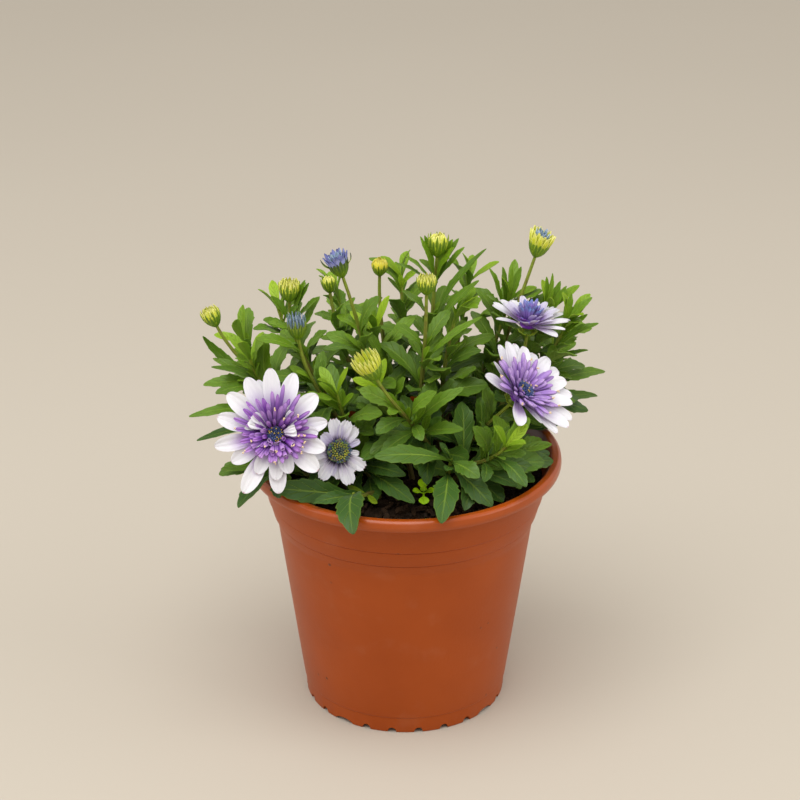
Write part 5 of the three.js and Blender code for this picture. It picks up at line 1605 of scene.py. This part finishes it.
def pot_profile():
    """[radius, height, rounding] of each corner, from the axis under the floor round to the axis above it."""
    lip = POT_HEIGHT - LIP_SKIRT

    def ring_at(corner):
        """A fine groove under a small step."""
        r, z = corner
        return [(r, z - 0.2, 0.1), (r - 0.25, z + 0.15, 0.05), (r + RING_STEP, z + RING_STEP, 0.25)]

    return [
        (0, FLOOR_UNDERSIDE, 0), (FOOT_RADIUS - FOOT_RING, FLOOR_UNDERSIDE, 0.4),
        (FOOT_RADIUS - FOOT_RING, 0, 0.5), (FOOT_RADIUS, 0, 0.7), (*FOOT_STEP, 0.15),
        (FOOT_STEP[0] + RING_STEP, FOOT_STEP[1] + RING_STEP, 0.3), (*SHOULDER, 1.5),
        *ring_at(LOWER_RING), *ring_at(UPPER_RING), (*UNDER_LIP, 0.3),
        (RIM_RADIUS - 2.2, lip + 1.6, 0.4), (RIM_RADIUS - 1.4, lip, 0.2), (RIM_RADIUS - 0.5, lip + 0.4, 0.2),
        (RIM_RADIUS, lip + 2.2, 0.8), (RIM_RADIUS - 0.5, POT_HEIGHT - 1.3, 0.5),
        (RIM_RADIUS - 1.8, POT_HEIGHT - 0.1, 0.6), (RIM_RADIUS - 3.4, POT_HEIGHT - 0.3, 0.6),
        (LIP_INNER_RADIUS, POT_HEIGHT - 0.5, 1.4), (*NECK, 0.8), (*INNER_BAND, 1),
        (wall_radius(INNER_SHOULDER_HEIGHT) - WALL, INNER_SHOULDER_HEIGHT, 1),
        (wall_radius(FLOOR_TOP) - WALL, FLOOR_TOP, 1), (0, FLOOR_TOP, 0),
    ]


def rounded(corners):
    """The corners as points, each rounded by a short curve that starts its rounding before it."""
    points = []
    for i, (r, z, rounding) in enumerate(corners):
        if not rounding:
            points.append((r, z))
            continue
        here = Vector((r, z))
        legs = [Vector(corners[j][:2]) - here for j in (i - 1, i + 1)]
        starts = [here + leg.normalized() * min(rounding, 0.45 * leg.length) for leg in legs]
        for k in range(CORNER_STEPS + 1):
            t = k / CORNER_STEPS
            p = starts[0] * (1 - t) ** 2 + here * 2 * t * (1 - t) + starts[1] * t * t
            points.append((p.x, p.y))
    return points


def spin_pot():
    points = rounded(pot_profile())
    mesh = bpy.data.meshes.new("moulded_pot")
    edges = [(i, i + 1) for i in range(len(points) - 1)]
    mesh.from_pydata([(r * MM, 0, z * MM) for r, z in points], edges, [])
    pot = bpy.data.objects.new("moulded_pot", mesh)
    bpy.context.scene.collection.objects.link(pot)
    pick(pot)
    bpy.ops.object.mode_set(mode="EDIT")
    bpy.ops.mesh.select_all(action="SELECT")
    bpy.ops.mesh.spin(steps=SPIN_STEPS, angle=2 * math.pi, center=(0, 0, 0), axis=(0, 0, 1))
    bpy.ops.mesh.select_all(action="SELECT")
    bpy.ops.mesh.remove_doubles(threshold=1e-6)
    bpy.ops.mesh.normals_make_consistent(inside=False)
    bpy.ops.object.mode_set(mode="OBJECT")
    return pot


print("pot profile:", len(rounded(pot_profile())), "points")

# %% [markdown]
# The foot ring lets water out through small arched notches, every sixth of them wider, and the floor has
# round drain holes. Cylinders cut them all in one step.

# %% Notches and drain holes
NOTCHES = 24
NOTCH = (2.5, 3)  # half width and height
WIDE_NOTCH = (6, 2.5)
WIDE_EVERY = 6
WIDE_FIRST = 3
DRAIN_HOLES = 4
DRAIN_CIRCLE = 38
DRAIN_RADIUS = 5
CUTTER_SIDES = 24
CUTTER_LENGTH = 12


def notch_cutters():
    """One lying cylinder for each notch and one standing for each drain hole, joined."""
    deselect()
    cutters = []
    for i in range(NOTCHES):
        half, height = WIDE_NOTCH if i % WIDE_EVERY == WIDE_FIRST else NOTCH
        degrees = 360 * (i + 0.5) / NOTCHES - 90
        place = polar(degrees, FOOT_RADIUS - 2, 0) * MM
        bpy.ops.mesh.primitive_cylinder_add(vertices=CUTTER_SIDES, radius=1, depth=CUTTER_LENGTH * MM)
        cutter = bpy.context.object
        squash = Matrix.Diagonal((height * MM, half * MM, 1, 1))
        lying = Matrix.Rotation(math.radians(90), 4, "Y")
        turn = Matrix.Rotation(math.radians(degrees), 4, "Z")
        cutter.data.transform(Matrix.Translation(place) @ turn @ lying @ squash)
        cutters.append(cutter)
    for i in range(DRAIN_HOLES):
        place = polar(360 * i / DRAIN_HOLES, DRAIN_CIRCLE, FLOOR_TOP) * MM
        bpy.ops.mesh.primitive_cylinder_add(
            vertices=CUTTER_SIDES, radius=DRAIN_RADIUS * MM, depth=0.01, location=place)
        bpy.ops.object.transform_apply(location=True)
        cutters.append(bpy.context.object)
    deselect()
    for cutter in cutters:
        cutter.select_set(True)
    bpy.context.view_layer.objects.active = cutters[0]
    bpy.ops.object.join()
    return cutters[0]


def build_pot():
    pot = spin_pot()
    cutter = notch_cutters()
    pick(pot)
    bpy.ops.object.modifier_add(type="BOOLEAN")
    pot.modifiers[-1].object = cutter
    bpy.ops.object.modifier_apply(modifier=pot.modifiers[-1].name)
    bpy.data.objects.remove(cutter)
    pot.data.materials.clear()
    pot.data.materials.append(PLASTIC)
    settle(pot, "pot_plastic", "pot")
    return pot


pot = build_pot()
print("pot:", len(pot.data.polygons), "faces")

# %% [markdown]
# The mix is a waved ground that follows the pot's wall down to its floor.

# %% Soil
SOIL_RADIUS = 74.2
SOIL_RELIEF = 1
SOIL_GAP = 0.6  # to the pot's wall, below the visible ground
GROUND_STEPS = 64


def soil_height(x, y):
    waves = np.sin(x * 0.31 + 1.2) * np.cos(y * 0.27) + 0.6 * np.sin((x - 1.7 * y) * 0.19 + 0.4)
    return SOIL_LEVEL + SOIL_RELIEF * waves


def ground_disc():
    """A flat disc, divided finely."""
    deselect()
    bpy.ops.mesh.primitive_circle_add(vertices=GROUND_STEPS, radius=SOIL_RADIUS, fill_type="TRIFAN")
    ground = bpy.context.object
    bpy.ops.object.mode_set(mode="EDIT")
    bpy.ops.mesh.select_all(action="SELECT")
    bpy.ops.mesh.subdivide(number_cuts=5)
    bpy.ops.mesh.subdivide(number_cuts=1)
    bpy.ops.object.mode_set(mode="OBJECT")
    return ground


def build_ground():
    """The disc roughened, and its rim drawn down along the pot's wall to the floor."""
    ground = ground_disc()
    draw = draws("ground")
    mesh = ground.data
    rim = {i for edge in mesh.edges for i in edge.vertices
           if all(math.hypot(*mesh.vertices[j].co.xy) > 0.985 * SOIL_RADIUS for j in edge.vertices)}
    for vertex in mesh.vertices:
        x, y, _ = vertex.co
        rough = 0 if vertex.index in rim else 1.5 * (draw() - 0.5)
        vertex.co.z = soil_height(x, y) + rough
    bpy.context.view_layer.objects.active = ground
    bpy.ops.object.mode_set(mode="EDIT")
    bpy.ops.mesh.select_all(action="DESELECT")
    bpy.ops.mesh.select_non_manifold()
    radius, height = SOIL_RADIUS, SOIL_LEVEL
    bottom = FLOOR_TOP + SOIL_GAP
    shoulder = (wall_radius(INNER_SHOULDER_HEIGHT) - WALL, INNER_SHOULDER_HEIGHT)
    for wall, level in (INNER_BAND, shoulder, (wall_radius(bottom) - WALL, bottom)):
        bpy.ops.mesh.extrude_region_move(TRANSFORM_OT_translate={"value": (0, 0, level - height)})
        shrink = (wall - SOIL_GAP) / radius
        bpy.ops.transform.resize(value=(shrink, shrink, 0 if level == bottom else 1))
        radius, height = wall - SOIL_GAP, level
    bpy.ops.mesh.edge_face_add()
    bpy.ops.mesh.select_all(action="SELECT")
    bpy.ops.mesh.normals_make_consistent(inside=False)
    bpy.ops.object.mode_set(mode="OBJECT")
    mesh.transform(Matrix.Scale(MM, 4))
    return ground


ground = build_ground()
print("ground:", len(ground.data.polygons), "faces")

# %% [markdown]
# A bit of bark is a block whose corners are shifted at random. There are a few shapes of it, in many sizes,
# and the bits lie every way on the ground.

# %% Bark
CHIP_SHAPES = 6
CHIPS = 900
CHIP_WIDTH = (1.2, 3.6)
CHIP_SLENDERNESS = (1.2, 3.2)
CHIP_RISE = (0.1, 2.0)  # of its middle above the ground


def chip_blank(seed):
    """A bit of bark: a block, cut in two each way, with its corners shifted."""
    deselect()
    bpy.ops.mesh.primitive_cube_add(size=2)
    chip = bpy.context.object
    bpy.ops.object.mode_set(mode="EDIT")
    bpy.ops.mesh.select_all(action="SELECT")
    bpy.ops.mesh.subdivide(number_cuts=1)
    bpy.ops.object.mode_set(mode="OBJECT")
    draw = draws("chips", seed)
    for vertex in chip.data.vertices:
        vertex.co += Vector((draw() - 0.5, draw() - 0.5, draw() - 0.5)) * 0.75
        vertex.co.x = (vertex.co.x + 1) / 2
    for loop, uv in zip(chip.data.loops, chip.data.uv_layers.active.data):
        uv.uv = chip.data.vertices[loop.vertex_index].co.xy
    return Blank(chip)


chips = [chip_blank(seed) for seed in range(CHIP_SHAPES)]
draw = draws("litter")
litter = Growth()
for i in range(CHIPS):
    radius = (SOIL_RADIUS - 2.5) * math.sqrt(draw())
    azimuth = 360 * draw()
    size = mix(*CHIP_WIDTH, draw() ** 2)
    x, y, _ = polar(azimuth, radius, 0)
    blank = chips[i % CHIP_SHAPES]
    heading = polar(360 * draw(), 1, 0.9 * (draw() - 0.5))
    length = size * mix(*CHIP_SLENDERNESS, draw() ** 2)
    middle = Vector((x, y, soil_height(x, y) + mix(*CHIP_RISE, draw())))
    if math.hypot(x, y) + length > SOIL_RADIUS:
        heading = polar(azimuth + 90, 1, 0.1)
    points = bend(blank, middle - heading * length / 2, middle + heading * length / 2,
                  Vector((draw() - 0.5, draw() - 0.5, 1)), size * 0.8, arch=0.04 * draw(), fold=0)
    litter.add(blank, points, BARK, (draw() ** 2, draw(), 0.5 * (draw() > 0.93)))
chips_piece = litter.build("bark_chips", "soil")

mesh = ground.data
mesh.name = ground.name = "potting_mix"
tint = mesh.attributes.new("tint", "FLOAT_VECTOR", "POINT")
tint.data.foreach_set("vector", np.tile((0.12, 0.4, 0.0), len(mesh.vertices)))
mesh.materials.append(BARK)
settle(ground, "soil", "soil")
print("soil:", len(mesh.polygons), "faces, chips:", len(chips_piece.data.polygons), "faces")

# %% [markdown]
# The stage is a plain pale floor under soft light: one broad lamp above and in front, a weaker one from each
# side, and a pale sky that fills the shadows.

# %% Floor and light
def floor_finish():
    finish = Finish("pale_floor", Roughness=0.9, Specular_IOR_Level=0.2)
    cloud = finish.noise(1.5, 2)
    finish.set(Base_Color=finish.mix(cloud, (0.5, 0.45, 0.375), (0.53, 0.478, 0.4)))
    return finish.material


deselect()
bpy.ops.mesh.primitive_plane_add(size=14)
floor = bpy.context.object
floor.name = "pale_floor"
floor.data.materials.append(floor_finish())
floor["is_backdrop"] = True

AIM = Vector((0, 0, 0.14))
LAMPS = [("key", (-0.25, -0.6, 1.8), 1.4, 23), ("left", (-1.5, -0.4, 1.0), 1.2, 4),
         ("right", (1.5, -0.4, 1.0), 1.2, 7)]
for name, place, size, power in LAMPS:
    bpy.ops.object.light_add(type="AREA", location=place)
    lamp = bpy.context.object
    lamp.name = f"lamp_{name}"
    lamp.data.size = size
    lamp.data.energy = power
    lamp.rotation_euler = (AIM - lamp.location).to_track_quat("-Z", "Y").to_euler()

world = bpy.data.worlds.new("pale_sky")
world.use_nodes = True
sky = world.node_tree.nodes["Background"]
sky.inputs["Color"].default_value = (1.0, 0.97, 0.93, 1)
sky.inputs["Strength"].default_value = 0.78
bpy.context.scene.world = world
bpy.context.scene.view_settings.view_transform = "Standard"
print("lamps:", len(LAMPS))

# %% [markdown]
# Last, the finished plant's box is printed, with its count of triangles.

# %% Sizes and finish
visual_box = [list(corner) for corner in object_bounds()]
triangles = sum(len(face.vertices) - 2 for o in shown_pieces() if o.type == "MESH" for face in o.data.polygons)
print("visual box", [[round(v / MM, 1) for v in corner] for corner in visual_box], "triangles", triangles)
